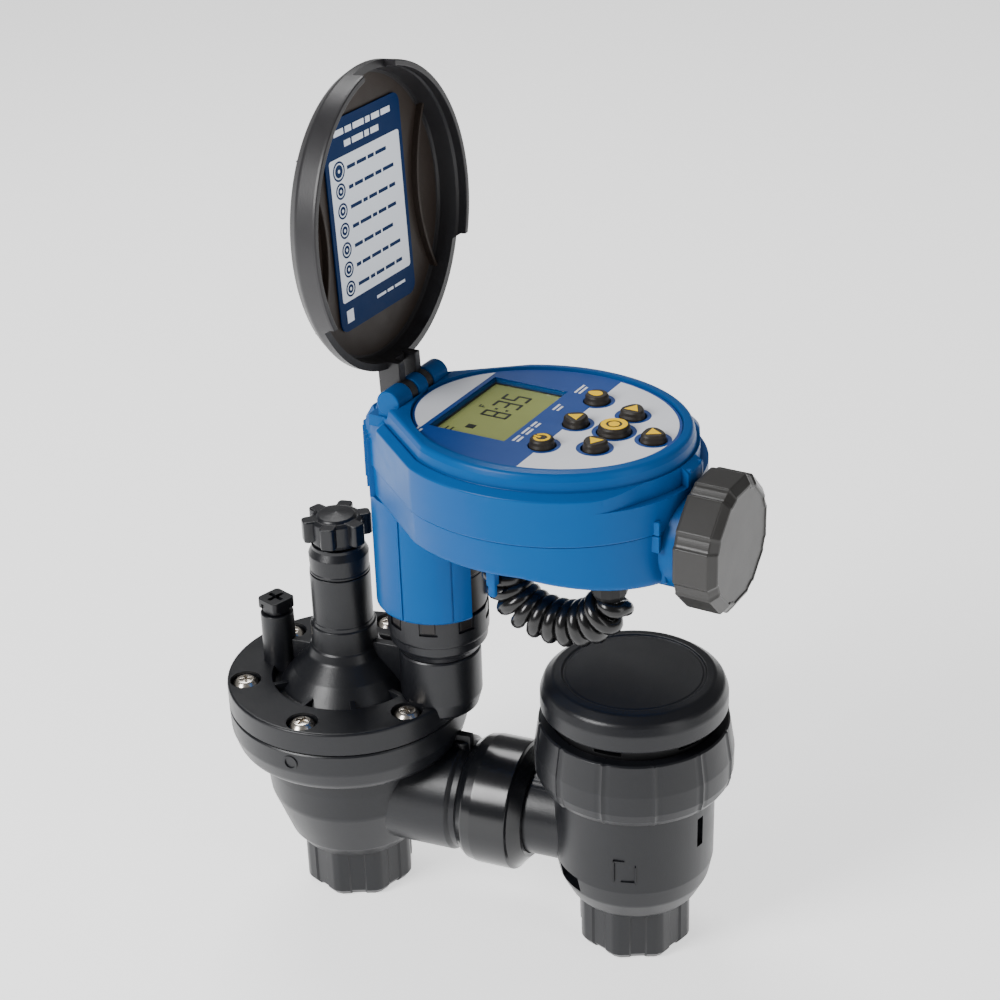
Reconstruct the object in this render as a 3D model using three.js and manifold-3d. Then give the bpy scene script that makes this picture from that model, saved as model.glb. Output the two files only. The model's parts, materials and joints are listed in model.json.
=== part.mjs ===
// Battery-operated irrigation controller on a 3/4 in anti-siphon diaphragm valve.
// Millimetres, +Z up. The inlet port stands at the left, the vacuum breaker and outlet port at the
// right, and the controller head sits on the solenoid between them with its lid open.
import * as THREE from 'three';
import { mergeVertices } from 'three/addons/utils/BufferGeometryUtils.js';
import Module from 'manifold-3d';

const wasm = await Module();
wasm.setup();

// ---- driving dimensions -----------------------------------------------------------------------
const GAP = 0.3; // clearance between touching pieces
const PORT_SPACING = 104.3; // inlet axis to outlet axis
const PORT_RADIUS = 19.9; // across the corners of the octagonal ports, halved
const PORT_HEIGHT = 19.6;
const PORT_BORE = 12.3; // 3/4 in female pipe thread
const PIPE_Z = 41.9; // axis of the passage from the valve to the vacuum breaker
const COUPLING_X = 46.4; // where the coupling meets the valve

const FLANGE_RADIUS = 41.4;
const FLANGE_SPLIT_Z = 74.2; // body to bonnet
const FLANGE_TOP_Z = 83.0;
const BODY_UNDERSIDE_Z = 57.0;
const BOLT_CIRCLE = 35;
const SCREW_ANGLES = [-150, -90, -30, 30, 90, 150];
const CHAMBER_RADIUS = 30.6;
const SEAT_Z = 66;

const STEM_TOWER_RADIUS = 10.3;
const STEM_TOWER_TOP = 122.8;
const GLAND_TOP = 133.4;
const KNOB_TOP = 142.7;
const KNOB_RADIUS = 11.6;
const BLEED_X = -25.6;
const BLEED_BOSS_TOP = 101.8;

const TOWER_X = 35.65; // solenoid tower and controller swivel axis
const TOWER_RADIUS = 13.9;
const TOWER_TOP = 100.2;
const ADAPTER_RADIUS = 17.0;
const ADAPTER_TOP = 117.8;
const SOLENOID_RADIUS = 16.5;
const SOLENOID_TOP = 157.0;

const BREAKER_RADIUS = 26.9;
const BREAKER_TOP = 78.0;
const BREAKER_CHAMBER = 22.0;
const CANOPY_RADIUS = 30.8;
const CANOPY_RIM_Z = 91.4;
const CANOPY_TOP_Z = 103.2;

const HEAD_YAW = -7.97; // degrees about the solenoid axis
const FACE_CENTRE = 42.55; // label centre, from the solenoid axis
const HEAD_LENGTH = 51.0; // half axes of the oval housing
const HEAD_WIDTH = 44.5;
const HEAD_CORNER = [15.6, 40.6]; // where the straight flank meets the oval
const LEG_RADIUS = 20.2;
const LEG_BOTTOM_Z = 118.8;
const FLOOR_Z = 159.5; // underside of the head
const FLOOR_SLOPE_V = 56; // the underside falls from here
const FLOOR_END_Z = 152.0; // to this height under the battery cap
const PARTING_Z = 171.0;
const SLOPE_START_Z = 180.5; // above this the leg end leans inward
const RIM_TOP_Z = 193.0;
const FACE_Z = 191.6; // plate under the label
const LABEL_TOP_Z = 192.2;
const PLATE_BOTTOM_Z = 188.9;
const WALL = 3.0;
const LABEL_LENGTH = 43.0;
const LABEL_WIDTH = 35.7;

const LCD = { v0: 12.9, v1: 39.4, half: 20.4 };
const BUTTON_TOP_Z = 194.8;
const BUTTON_BOTTOM_Z = 184.2;
const BUTTONS = [
  ['button_set', 66.05, 0, 5.0],
  ['button_up', 53.0, 0, 3.8],
  ['button_down', 79.1, 0, 3.8],
  ['button_right', 66.05, 12.75, 3.8],
  ['button_left', 66.05, -12.75, 3.8],
  ['button_power', 50.97, -17.9, 3.8],
  ['button_manual', 50.97, 17.9, 3.8],
];

const CAP_AXIS_Z = 163.5; // battery compartment axis
const NECK_RADIUS = 17.0;
const CAP_RADIUS = 21.7;
const BATTERY = { v0: 44, v1: 92.5, half: 13.25, halfHeight: 8.75 };

const HINGE_V = -5.4;
const HINGE_Z = 193.2;
const KNUCKLE_RADIUS = 4.2;
const PIN_RADIUS = 1.5;
const KNUCKLES = [[-15, -6.6], [-2.6, 2.9], [6.6, 15]];
const LID_OPEN = 92.5; // degrees from closed, as it stands in the model
const LID_CENTRE = 55.6; // from the hinge axis
const LID_LENGTH = 48.2;
const LID_WIDTH = 43.6;
const LID_RIM = 0.3; // rim plane above the hinge axis when closed
const LID_DEPTH = 12.0;
const LID_WALL = 1.8;
const SKIRT_STEP = 4.2; // the skirt is this much shallower by the hinge and at the latch
const SKIRT_START = [33.5, 39]; // where it deepens, from the hinge, on the near and the far side
const LATCH_GAP = { x: 96, y: [-10, 7] }; // the shallow stretch at the latch

const COIL_RADIUS = 7.7; // outer radius of the curly cord
const CORD_ROUTE = [ // centre of the coil in head coordinates, from gland to gland
  [39.0, -21.5, 151.5],
  [39.0, -21.5, 149.0],
  [41.0, -21.5, 142.5],
  [46.5, -21.6, 137.4],
  [54.5, -21.7, 135.4],
  [63.0, -21.8, 136.0],
  [70.5, -21.9, 139.6],
  [74.8, -22.0, 144.6],
  [75.4, -22.0, 146.6],
  [75.4, -22.0, 148.4],
];
const GLAND_HEIGHT = 6.5;

// ---- colours ----------------------------------------------------------------------------------
const finish = (color, roughness, metalness = 0) =>
  new THREE.MeshStandardMaterial({ color, roughness, metalness });
const BLACK = finish('#2b2b2f', 0.5);
const BLUE = finish('#0b6fc0', 0.38);
const RUBBER = finish('#1b1b1c', 0.7);
const BUTTON = finish('#3a352d', 0.6);
const LID_GREY = finish('#4b4b4c', 0.5);
const CAP_GREY = finish('#747270', 0.42);
const STEEL = finish('#c9c7c2', 0.25, 1);
const LABEL = finish('#2f62a3', 0.4);
const LID_LABEL = finish('#1a3f7c', 0.4);
const WHITE_PLASTIC = finish('#e6e6e2', 0.5);
const LCD_GLASS = finish('#a2ad62', 0.2);
const CLEAR = finish('#dfe6df', 0.1);
const BOARD = finish('#1f6b3a', 0.5);
const CELL = finish('#55504a', 0.35, 0.3);
const CORD = finish('#141415', 0.35);

// ---- geometry helpers ---------------------------------------------------------------------------
const radians = THREE.MathUtils.degToRad;

// Joins a geometry's shared corners, drops empty triangles and turns its faces outward.
function closedMesh(geometry) {
  const bare = geometry.clone();
  bare.deleteAttribute('normal');
  bare.deleteAttribute('uv');
  const joined = mergeVertices(bare, 1e-4);
  const position = joined.attributes.position;
  const corner = (i) => new THREE.Vector3().fromBufferAttribute(position, i);
  const kept = [];
  let volume = 0;
  for (let i = 0; i < joined.index.count; i += 3) {
    const [a, b, c] = [0, 1, 2].map((k) => joined.index.getX(i + k));
    if (a === b || b === c || a === c) continue;
    kept.push(a, b, c);
    volume += corner(a).dot(corner(b).cross(corner(c)));
  }
  if (volume < 0) kept.reverse();
  joined.setIndex(kept);
  return joined;
}

function solid(geometry) {
  const mesh = closedMesh(geometry);
  return new wasm.Manifold(new wasm.Mesh({
    numProp: 3,
    vertProperties: new Float32Array(mesh.attributes.position.array),
    triVerts: new Uint32Array(mesh.index.array),
  }));
}

function geometryOf(manifold) {
  const { vertProperties, triVerts, numProp } = manifold.getMesh();
  const points = [];
  for (let i = 0; i < vertProperties.length; i += numProp) {
    points.push(vertProperties[i], vertProperties[i + 1], vertProperties[i + 2]);
  }
  const geometry = new THREE.BufferGeometry();
  geometry.setAttribute('position', new THREE.Float32BufferAttribute(points, 3));
  geometry.setIndex(Array.from(triVerts));
  return geometry;
}

const join = (...solids) => solids.reduce((a, b) => a.add(b));
const cut = (base, ...tools) => tools.reduce((a, b) => a.subtract(b), base);

// Sides of a round face, more on a larger one.
const sidesFor = (radius) => 4 * Math.round(1.0 + 0.72 * Math.sqrt(radius));
const widest = (profile) => Math.max(...profile.map(([r]) => r));

// A turned shape: profile points are [radius, height] along Z.
function turned(profile, [x, y] = [0, 0]) {
  const points = profile.map(([r, z]) => new THREE.Vector2(r, z));
  const geometry = new THREE.LatheGeometry(points, sidesFor(widest(profile)));
  return solid(geometry.rotateX(Math.PI / 2).translate(x, y, 0));
}

// The same, turned about a line along X at height z and offset y.
function turnedX(profile, y, z) {
  const points = profile.map(([r, x]) => new THREE.Vector2(r, x));
  const geometry = new THREE.LatheGeometry(points, sidesFor(widest(profile)));
  return solid(geometry.rotateZ(-Math.PI / 2).translate(0, y, z));
}

const rod = (r, z0, z1, at = [0, 0]) => turned([[0, z0], [r, z0], [r, z1], [0, z1]], at);

const ring = (inner, outer, z0, z1, at = [0, 0]) =>
  turned([[inner, z0], [outer, z0], [outer, z1], [inner, z1], [inner, z0]], at);

const rodX = (r, x0, x1, y, z) => turnedX([[0, x0], [r, x0], [r, x1], [0, x1]], y, z);

const ringX = (inner, outer, x0, x1, y, z) =>
  turnedX([[inner, x0], [outer, x0], [outer, x1], [inner, x1], [inner, x0]], y, z);

function rodY(r, y0, y1, x, z) {
  const geometry = new THREE.CylinderGeometry(r, r, y1 - y0, sidesFor(r));
  return solid(geometry.translate(x, (y0 + y1) / 2, z));
}

function block([x0, x1], [y0, y1], [z0, z1]) {
  const geometry = new THREE.BoxGeometry(x1 - x0, y1 - y0, z1 - z0);
  return solid(geometry.translate((x0 + x1) / 2, (y0 + y1) / 2, (z0 + z1) / 2));
}

// A flat outline raised from z0 to z1, with an optional chamfer on its top edge.
function raised(shape, z0, z1, chamfer = 0, chamferHeight = chamfer) {
  const settings = { depth: z1 - z0 - 2 * chamferHeight, bevelEnabled: chamfer > 0, curveSegments: 20 };
  if (chamfer > 0) {
    Object.assign(settings, {
      bevelSegments: 1, bevelSize: chamfer, bevelThickness: chamferHeight, bevelOffset: -chamfer,
    });
  }
  return solid(new THREE.ExtrudeGeometry(shape, settings).translate(0, 0, z0 + chamferHeight));
}

// A profile in the X-Z plane, carried across Y from y0 to y1.
function across(points, y0, y1) {
  const shape = new THREE.Shape(points.map(([x, z]) => new THREE.Vector2(x, z)));
  const geometry = new THREE.ExtrudeGeometry(shape, { depth: y1 - y0, bevelEnabled: false });
  return solid(geometry.rotateX(Math.PI / 2).translate(0, y1, 0));
}

function ovalShape(centre, length, width) {
  const shape = new THREE.Shape();
  const segments = sidesFor(length);
  for (let i = 0; i < segments; i += 1) {
    const angle = (2 * Math.PI * i) / segments;
    const point = [centre + length * Math.cos(angle), width * Math.sin(angle)];
    if (i === 0) shape.moveTo(...point);
    else shape.lineTo(...point);
  }
  shape.closePath();
  return shape;
}

function polygonShape(sides, radius, turn = 0) {
  const corners = Array.from({ length: sides }, (_, i) => {
    const angle = turn + (2 * Math.PI * i) / sides;
    return new THREE.Vector2(radius * Math.cos(angle), radius * Math.sin(angle));
  });
  return new THREE.Shape(corners);
}

const onCircle = (radius, degrees) =>
  [radius * Math.cos(radians(degrees)), radius * Math.sin(radians(degrees))];

const base = new THREE.Group();
const head = new THREE.Group();
head.position.set(TOWER_X, 0, 0);
head.rotation.z = radians(HEAD_YAW);
base.add(head);

const lidGroup = new THREE.Group(); // hinge line at its origin, drawn closed, turned open
lidGroup.position.set(HINGE_V, 0, HINGE_Z);
lidGroup.rotation.y = -radians(LID_OPEN);
head.add(lidGroup);

function piece(parent, name, manifold, material) {
  const mesh = new THREE.Mesh(geometryOf(manifold), material);
  mesh.name = name;
  parent.add(mesh);
}

// ---- valve --------------------------------------------------------------------------------------
const port = (x) => raised(polygonShape(8, PORT_RADIUS), 0, PORT_HEIGHT + 1).translate([x, 0, 0]);

function valveBody() {
  const outside = turned([
    [0, PORT_HEIGHT], [22, PORT_HEIGHT], [29, 38], [30, 39], [30, BODY_UNDERSIDE_Z],
    [39.4, BODY_UNDERSIDE_Z], [41.2, BODY_UNDERSIDE_Z + 2], [FLANGE_RADIUS, FLANGE_SPLIT_Z],
    [0, FLANGE_SPLIT_Z],
  ]);
  const outlet = turnedX([
    [0, 10], [20.1, 10], [20.1, 43.4], [19.2, 44], [19.2, COUPLING_X - GAP], [0, COUPLING_X - GAP],
  ], 0, PIPE_Z);
  const bossAbovePipe = rod(2.6, 55, 64.5, [43, 0]);
  const throat = rod(9, 10, SEAT_Z + 1, [0, 0]);
  const ringChamber = ring(12.5, 24, 36, SEAT_Z + 1);
  const upperChamber = rod(CHAMBER_RADIUS, SEAT_Z, FLANGE_SPLIT_Z + 1, [0, 0]);
  const inlet = rod(PORT_BORE, -1, 18, [0, 0]);
  const passage = rodX(11.5, 18, 50, 0, PIPE_Z);
  const tapped = SCREW_ANGLES.map((a) => rod(2.2, 61, FLANGE_SPLIT_Z + 1, onCircle(BOLT_CIRCLE, a)));
  return cut(join(outside, port(0), outlet, bossAbovePipe),
    throat, ringChamber, upperChamber, inlet, passage, ...tapped);
}

function valveBonnet() {
  const bottom = FLANGE_SPLIT_Z + GAP;
  const outside = turned([
    [0, bottom], [FLANGE_RADIUS, bottom], [FLANGE_RADIUS, FLANGE_TOP_Z - 0.9],
    [FLANGE_RADIUS - 0.9, FLANGE_TOP_Z], [25.6, FLANGE_TOP_Z], [25.3, 81], [22.6, 81], [18, 86.8],
    [12.6, 92.4], [11.6, 94.6], [11.4, 103.2], [10.6, 103.6], [10.6, 104.2], [STEM_TOWER_RADIUS, 104.6],
    [STEM_TOWER_RADIUS, STEM_TOWER_TOP], [0, STEM_TOWER_TOP],
  ]);
  const tower = turned([
    [0, bottom], [8.5, bottom], [12, 78.5], [TOWER_RADIUS, 83.5], [TOWER_RADIUS, TOWER_TOP], [0, TOWER_TOP],
  ], [TOWER_X, 0]);
  const bleedBoss = rod(5.8, 80, BLEED_BOSS_TOP, [BLEED_X, 0]);
  const web = block([BLEED_X + 3, -14], [-1.4, 1.4], [81, 93]);
  const ribs = Array.from({ length: 9 }, (_, i) =>
    block([21.4, 26], [-1.1, 1.1], [80, 82.8]).rotate([0, 0, 40 * i + 20]));
  const chamber = rod(CHAMBER_RADIUS, bottom - 1, 77.6, [0, 0]);
  const dome = turned([[0, 77], [17, 77], [11.5, 84.5], [0, 84.5]]);
  const stemBore = rod(5.2, 84, STEM_TOWER_TOP + 1);
  const solenoidBore = rod(6, 90, TOWER_TOP + 1, [TOWER_X, 0]);
  const bleedBore = rod(3.3, 80, BLEED_BOSS_TOP + 1, [BLEED_X, 0]);
  const bleedPort = rod(1.2, 77, 81, [BLEED_X, 0]);
  const holes = SCREW_ANGLES.flatMap((a) => {
    const at = onCircle(BOLT_CIRCLE, a);
    return [rod(2.4, bottom - 1, 82, at), rod(5.1, 80.4, FLANGE_TOP_Z + 1, at)];
  });
  return cut(join(outside, tower, bleedBoss, web, ...ribs),
    chamber, dome, stemBore, solenoidBore, bleedBore, bleedPort, ...holes);
}

const bonnetScrew = (at) => turned([
  [0, 63], [1.8, 63], [1.8, 80.8], [4.2, 80.8], [4.2, 81.9], [3.4, 82.9], [1.8, 83.4], [0, 83.5],
], at);

const diaphragm = () => turned([
  [0, SEAT_Z + 0.3], [11, SEAT_Z + 0.3], [12, 68.2], [29, 68.2], [30, 69], [30, 70.2], [26, 70.6],
  [12, 70.2], [0, 70.2],
]);

const diaphragmSpring = () => ring(7.2, 8.6, 70.6, 84.1, [0, 0]);

const flowStem = () => turned([
  [0, 76], [5.2, 76], [5.2, 77.6], [3.2, 79], [3.2, 110.9], [2.7, 111.2], [2.7, 113], [3.2, 113.3],
  [3.2, 139.6], [0, 139.6],
]);

const stemRing = () => ring(3.0, 4.8, 111.4, 112.8, [0, 0]);

const stemGland = () => turned([
  [3.6, STEM_TOWER_TOP + GAP], [10.2, STEM_TOWER_TOP + GAP], [10.2, 130.6], [9.2, GLAND_TOP],
  [3.6, GLAND_TOP], [3.6, STEM_TOWER_TOP + GAP],
]);

function flowKnob() {
  const core = turned([
    [0, GLAND_TOP + 0.4], [8.6, GLAND_TOP + 0.4], [8.6, KNOB_TOP], [6.6, 144.0], [0, 144.6],
  ]);
  const lobes = SCREW_ANGLES.map((a) =>
    block([5, KNOB_RADIUS], [-2.3, 2.3], [135.2, KNOB_TOP]).rotate([0, 0, a]));
  const socket = rod(3.7, GLAND_TOP, 139.9, [0, 0]);
  return cut(join(core, ...lobes), socket);
}

function bleedScrew() {
  const shank = turned([
    [0, 84], [2.3, 84], [2.3, 97.4], [1.9, 97.7], [1.9, 99.5], [2.3, 99.8], [2.3, 102.1], [4.5, 102.1],
    [4.5, 103.4], [0, 103.4],
  ], [BLEED_X, 0]);
  const square = block([-4.8, 4.8], [-4.8, 4.8], [103.2, 107.3]).rotate([0, 0, -22.5]);
  return join(shank, square.translate([BLEED_X, 0, 0]));
}

const bleedRing = () => ring(2.1, 3.0, 98, 99.2, [BLEED_X, 0]);

// ---- solenoid -----------------------------------------------------------------------------------
function solenoidAdapter() {
  const body = turned([
    [9, TOWER_TOP + GAP], [TOWER_RADIUS, TOWER_TOP + GAP], [ADAPTER_RADIUS, 105.8],
    [ADAPTER_RADIUS, ADAPTER_TOP], [13.6, ADAPTER_TOP], [13.6, 106], [9, 106], [9, TOWER_TOP + GAP],
  ], [TOWER_X, 0]);
  const slots = Array.from({ length: 8 }, (_, i) =>
    block([15.4, 20], [-2.6, 2.6], [114, 119]).rotate([0, 0, 45 * i]).translate([TOWER_X, 0, 0]));
  return cut(body, ...slots);
}

function solenoidBody() {
  const bottom = 106 + GAP;
  const outside = turned([
    [0, bottom], [13.2, bottom], [13.2, 109], [12.2, 109.3], [12.2, 111.4], [13.2, 111.7],
    [13.2, ADAPTER_TOP + GAP], [SOLENOID_RADIUS, ADAPTER_TOP + GAP], [SOLENOID_RADIUS, SOLENOID_TOP - 2],
    [SOLENOID_RADIUS - 2, SOLENOID_TOP], [0, SOLENOID_TOP],
  ], [TOWER_X, 0]);
  return cut(outside, rod(4.4, bottom - 1, 135, [TOWER_X, 0]));
}

const solenoidRing = () => ring(12.5, 13.3, 109.8, 111, [TOWER_X, 0]);
const plunger = () => rod(4.0, 92, 120, [TOWER_X, 0]);
const plungerSpring = () => ring(2.2, 3.4, 120.3, 134.7, [TOWER_X, 0]);

// ---- outlet and vacuum breaker --------------------------------------------------------------------
const outletCoupling = () => turnedX([
  [16.1, COUPLING_X], [19.6, COUPLING_X], [21.7, 48.6], [22.5, 51], [22.5, 65.5], [17.4, 69.7],
  [16.1, 69.7], [16.1, COUPLING_X],
], 0, PIPE_Z);

const couplingRing = () => ringX(12.4, 15.5, COUPLING_X, COUPLING_X + 1.7, 0, PIPE_Z);

function breakerBody() {
  const at = [PORT_SPACING, 0];
  const outside = turned([
    [0, PORT_HEIGHT], [22, PORT_HEIGHT], [24.4, 24], [26, 29], [BREAKER_RADIUS, 34],
    [BREAKER_RADIUS, BREAKER_TOP], [0, BREAKER_TOP],
  ], at);
  const tail = rodX(15.8, COUPLING_X + 2, PORT_SPACING - 22.5, 0, PIPE_Z);
  const outlet = rod(PORT_BORE, -1, 18, at);
  const throat = rod(9.5, 10, 50, at);
  const low = ring(12.5, BREAKER_CHAMBER, 30, 45);
  const high = rod(BREAKER_CHAMBER, 44.9, BREAKER_TOP + 1, at);
  const tailBore = rodX(11.5, 47, PORT_SPACING - 20.5, 0, PIPE_Z);
  return cut(join(outside, tail, port(PORT_SPACING)), outlet, throat, low.translate([PORT_SPACING, 0, 0]),
    high, tailBore);
}

function breakerCollar() {
  const body = turned([
    [27.6, 64], [31.4, 64], [33, 67.5], [33, 75], [31.6, 86.8], [27.6, 86.8], [27.6, 64],
  ], [PORT_SPACING, 0]);
  return body;
}

function breakerNeck() {
  const bottom = BREAKER_TOP + GAP;
  const cup = turned([
    [9, bottom], [BREAKER_RADIUS, bottom], [BREAKER_RADIUS, 95], [0, 95], [0, 92.4], [9, 92.4], [9, bottom],
  ], [PORT_SPACING, 0]);
  const slots = Array.from({ length: 6 }, (_, i) =>
    block([8, 30], [-4.5, 4.5], [87.6, 90.6]).rotate([0, 0, 60 * i + 30]).translate([PORT_SPACING, 0, 0]));
  return cut(cup, ...slots);
}

const breakerCanopy = () => turned([
  [0, 95.3], [5, 95.3], [5, 99], [28.6, 99], [28.6, CANOPY_RIM_Z], [CANOPY_RADIUS, CANOPY_RIM_Z],
  [CANOPY_RADIUS, 96.4], [30.2, 99.2], [28.4, 101.6], [24.8, CANOPY_TOP_Z], [0, CANOPY_TOP_Z],
], [PORT_SPACING, 0]);

const breakerFloat = () => turned([
  [0, 45.4], [12, 45.4], [13, 47], [13, 67.6], [3, 67.6], [3, 83.5], [0, 83.5],
], [PORT_SPACING, 0]);

const breakerSeal = () => ring(3.4, 12.5, 67.9, 70, [PORT_SPACING, 0]);

// ---- controller head ------------------------------------------------------------------------------
// Plan of the housing: an oval at the battery end, straight flanks, and a round end over the leg.
function headShape(inset) {
  const points = [];
  const [cornerV] = HEAD_CORNER;
  const start = Math.acos((cornerV - FACE_CENTRE) / HEAD_LENGTH);
  const ovalSteps = 22;
  for (let i = 0; i <= ovalSteps; i += 1) {
    const angle = -start + (2 * start * i) / ovalSteps;
    points.push([
      FACE_CENTRE + (HEAD_LENGTH - inset) * Math.cos(angle), (HEAD_WIDTH - inset) * Math.sin(angle),
    ]);
  }
  const tangent = flankTangent();
  const roundSteps = 8;
  for (let i = 0; i <= roundSteps; i += 1) {
    const angle = tangent + ((2 * Math.PI - 2 * tangent) * i) / roundSteps;
    points.push([(LEG_RADIUS - inset) * Math.cos(angle), (LEG_RADIUS - inset) * Math.sin(angle)]);
  }
  return new THREE.Shape(points.map(([v, u]) => new THREE.Vector2(v, u)));
}

// Angle round the leg at which the straight flank leaves it.
function flankTangent() {
  const [cornerV, cornerU] = HEAD_CORNER;
  return Math.atan2(cornerU, cornerV) + Math.acos(LEG_RADIUS / Math.hypot(cornerU, cornerV));
}

// Everything below the sloping underside, raised by offset.
const belowFloor = (offset) => across([
  [-40, 100], [-40, FLOOR_Z + offset], [FLOOR_SLOPE_V, FLOOR_Z + offset],
  [93, FLOOR_END_Z + offset], [120, FLOOR_END_Z + offset], [120, 100],
], -60, 60);

// The slopes that lean the leg end and its two flanks inward above the widest line.
function hingeSlopes() {
  const lean = across([
    [LEG_RADIUS, SLOPE_START_Z], [LEG_RADIUS + 20, SLOPE_START_Z], [LEG_RADIUS + 20, 215],
    [LEG_RADIUS - 15, 215], [LEG_RADIUS - 7, RIM_TOP_Z + 1],
  ], -8, 38);
  const turn = THREE.MathUtils.radToDeg(flankTangent());
  const far = lean.rotate([0, 0, turn]);
  const middle = lean.translate([0, -15, 0]).rotate([0, 0, 180]);
  return join(far, far.mirror([0, 1, 0]), middle);
}

const CASE_SCREWS = [[21, -29], [21, 29], [66, -28], [66, 28]];

function lowerHousing() {
  const top = PARTING_Z - GAP / 2;
  const shell = cut(raised(headShape(0), 150, top), belowFloor(0));
  const hollow = cut(raised(headShape(WALL), 150, top + 1), belowFloor(2.2));
  const leg = ring(LEG_RADIUS - 3, LEG_RADIUS, LEG_BOTTOM_Z, FLOOR_Z + 0.5, [0, 0]);
  const legGap = block([0, 30], [-8.4, 8.4], [LEG_BOTTOM_Z - 1, FLOOR_Z - 0.1]);
  const trough = block([41, 91], [-15.5, 15.5], [152.9, 165]);
  const neck = rodX(NECK_RADIUS, 82, 99, 0, CAP_AXIS_Z);
  const bosses = CASE_SCREWS.map((at) => rod(3.8, 155.5, top, at));
  const bossTrim = belowFloor(0);
  const hook = block([39, 42], [-33, -30.2], [145, FLOOR_Z + 1]);
  const batterySpace = block([42.6, 100], [-13.8, 13.8], [154.5, 172.6]);
  const screwSpaces = CASE_SCREWS.flatMap((at) => [rod(1.8, 150, 175, at), rod(3.1, 150, 162.4, at)]);
  const glandHoles = glandPlaces().map((at) => rod(3.2, 150, 166, at));
  const body = join(cut(shell, hollow), cut(leg, legGap), trough, neck, cut(join(...bosses), bossTrim), hook);
  return cut(body, batterySpace, ...screwSpaces, ...glandHoles);
}

function knuckles() {
  const barrels = KNUCKLES.map(([u0, u1]) => join(
    rodY(KNUCKLE_RADIUS, u0, u1, HINGE_V, HINGE_Z),
    block([HINGE_V - 3.6, HINGE_V + 3.6], [u0, u1], [186, HINGE_Z]),
  ));
  return join(...barrels);
}

function upperHousing() {
  const bottom = PARTING_Z + GAP / 2;
  const shell = cut(raised(headShape(0), 150, RIM_TOP_Z, 4.2, 5.2), block([-60, 130], [-60, 60], [140, bottom]));
  const hollow = raised(headShape(WALL + 3.6), bottom - 1, PLATE_BOTTOM_Z);
  const hollowLow = raised(headShape(WALL), bottom - 1, 184);
  const hingeSeat = block([-10.5, 1], [-15.5, 15.5], [185, 190]);
  const hingeNotch = block([-40, -0.9], [-16.4, 16.4], [188.8, 210]);
  const recess = raised(ovalShape(FACE_CENTRE, LABEL_LENGTH + 0.5, LABEL_WIDTH + 0.5), FACE_Z, 200);
  const neckSpace = rodX(NECK_RADIUS + GAP, 70, 110, 0, CAP_AXIS_Z);
  const lcdOpening = block([LCD.v0, LCD.v1], [-LCD.half, LCD.half], [180, 200]);
  const buttonHoles = BUTTONS.map(([, v, u, r]) => rod(r + 0.6, 180, 200, [v, u]));
  const posts = CASE_SCREWS.map((at) => rod(3.3, bottom, PLATE_BOTTOM_Z + 1, at));
  const postHoles = CASE_SCREWS.map((at) => rod(1.7, bottom - 1, 184, at));
  const pinBore = rodY(PIN_RADIUS + 0.2, -20, 14, HINGE_V, HINGE_Z);
  const body = cut(join(cut(shell, hollow, hollowLow), hingeSeat), hingeNotch, recess, hingeSlopes());
  return cut(join(body, ...posts, knuckles()), neckSpace, lcdOpening, pinBore, ...buttonHoles, ...postHoles);
}

function caseGasket() {
  const outline = cut(raised(headShape(WALL + GAP), 169.6, 172.4), raised(headShape(WALL + 1.8), 169, 173));
  return cut(outline, rodX(NECK_RADIUS + 1, 60, 110, 0, CAP_AXIS_Z));
}

const caseScrew = (at) => turned([
  [0, 160.2], [2.7, 160.2], [2.7, 162.1], [1.4, 162.1], [1.4, 182], [0, 182],
], at);

function faceLabel() {
  const sheet = raised(ovalShape(FACE_CENTRE, LABEL_LENGTH, LABEL_WIDTH), FACE_Z + 0.25, LABEL_TOP_Z);
  const window = block([LCD.v0, LCD.v1], [-LCD.half, LCD.half], [190, 194]);
  const holes = BUTTONS.map(([, v, u, r]) => rod(r + 0.6, 190, 194, [v, u]));
  return cut(sheet, window, ...holes);
}

const lcdWindow = () =>
  block([LCD.v0 + GAP, LCD.v1 - GAP], [-LCD.half + GAP, LCD.half - GAP], [189.4, 191.7]);
const lcdModule = () => block([11, 41.3], [-22.5, 22.5], [183.4, 188.5]);
const circuitBoard = () => block([8, 79], [-24, 24], [181.2, 182.8]);

function keypadFrame() {
  const plate = raised(headShape(WALL + 5), 186.2, 188.5).intersect(block([46, 88], [-23.5, 23.5], [186, 189]));
  return cut(plate, ...BUTTONS.map(([, v, u, r]) => rod(r + 1.7, 184, 190, [v, u])));
}

const button = (v, u, r) => turned([
  [0, BUTTON_BOTTOM_Z], [r + 1.2, BUTTON_BOTTOM_Z], [r + 1.2, 185.6], [r, 185.9], [r, BUTTON_TOP_Z - 0.8],
  [r - 0.8, BUTTON_TOP_Z], [0, BUTTON_TOP_Z],
], [v, u]);

// ---- battery ------------------------------------------------------------------------------------
const battery = () => block([BATTERY.v0, BATTERY.v1], [-BATTERY.half, BATTERY.half],
  [CAP_AXIS_Z - BATTERY.halfHeight, CAP_AXIS_Z + BATTERY.halfHeight]);

const batteryContacts = () => block([42.9, 43.7], [-9, 9], [CAP_AXIS_Z - 6, CAP_AXIS_Z + 6]);

function batteryCap() {
  const outline = polygonShape(16, CAP_RADIUS, Math.PI / 16);
  const geometry = new THREE.ExtrudeGeometry(outline, {
    depth: 11, bevelEnabled: true, bevelSegments: 1, bevelSize: 1.2, bevelThickness: 1.2, bevelOffset: -1.2,
  });
  const drum = solid(geometry.rotateY(Math.PI / 2).translate(96.7, 0, CAP_AXIS_Z));
  return cut(drum, rodX(NECK_RADIUS + 0.4, 90, 104.5, 0, CAP_AXIS_Z));
}

const batteryCapSeal = () => ringX(15.8, 16.7, 99.5, 101.5, 0, CAP_AXIS_Z);

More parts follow.
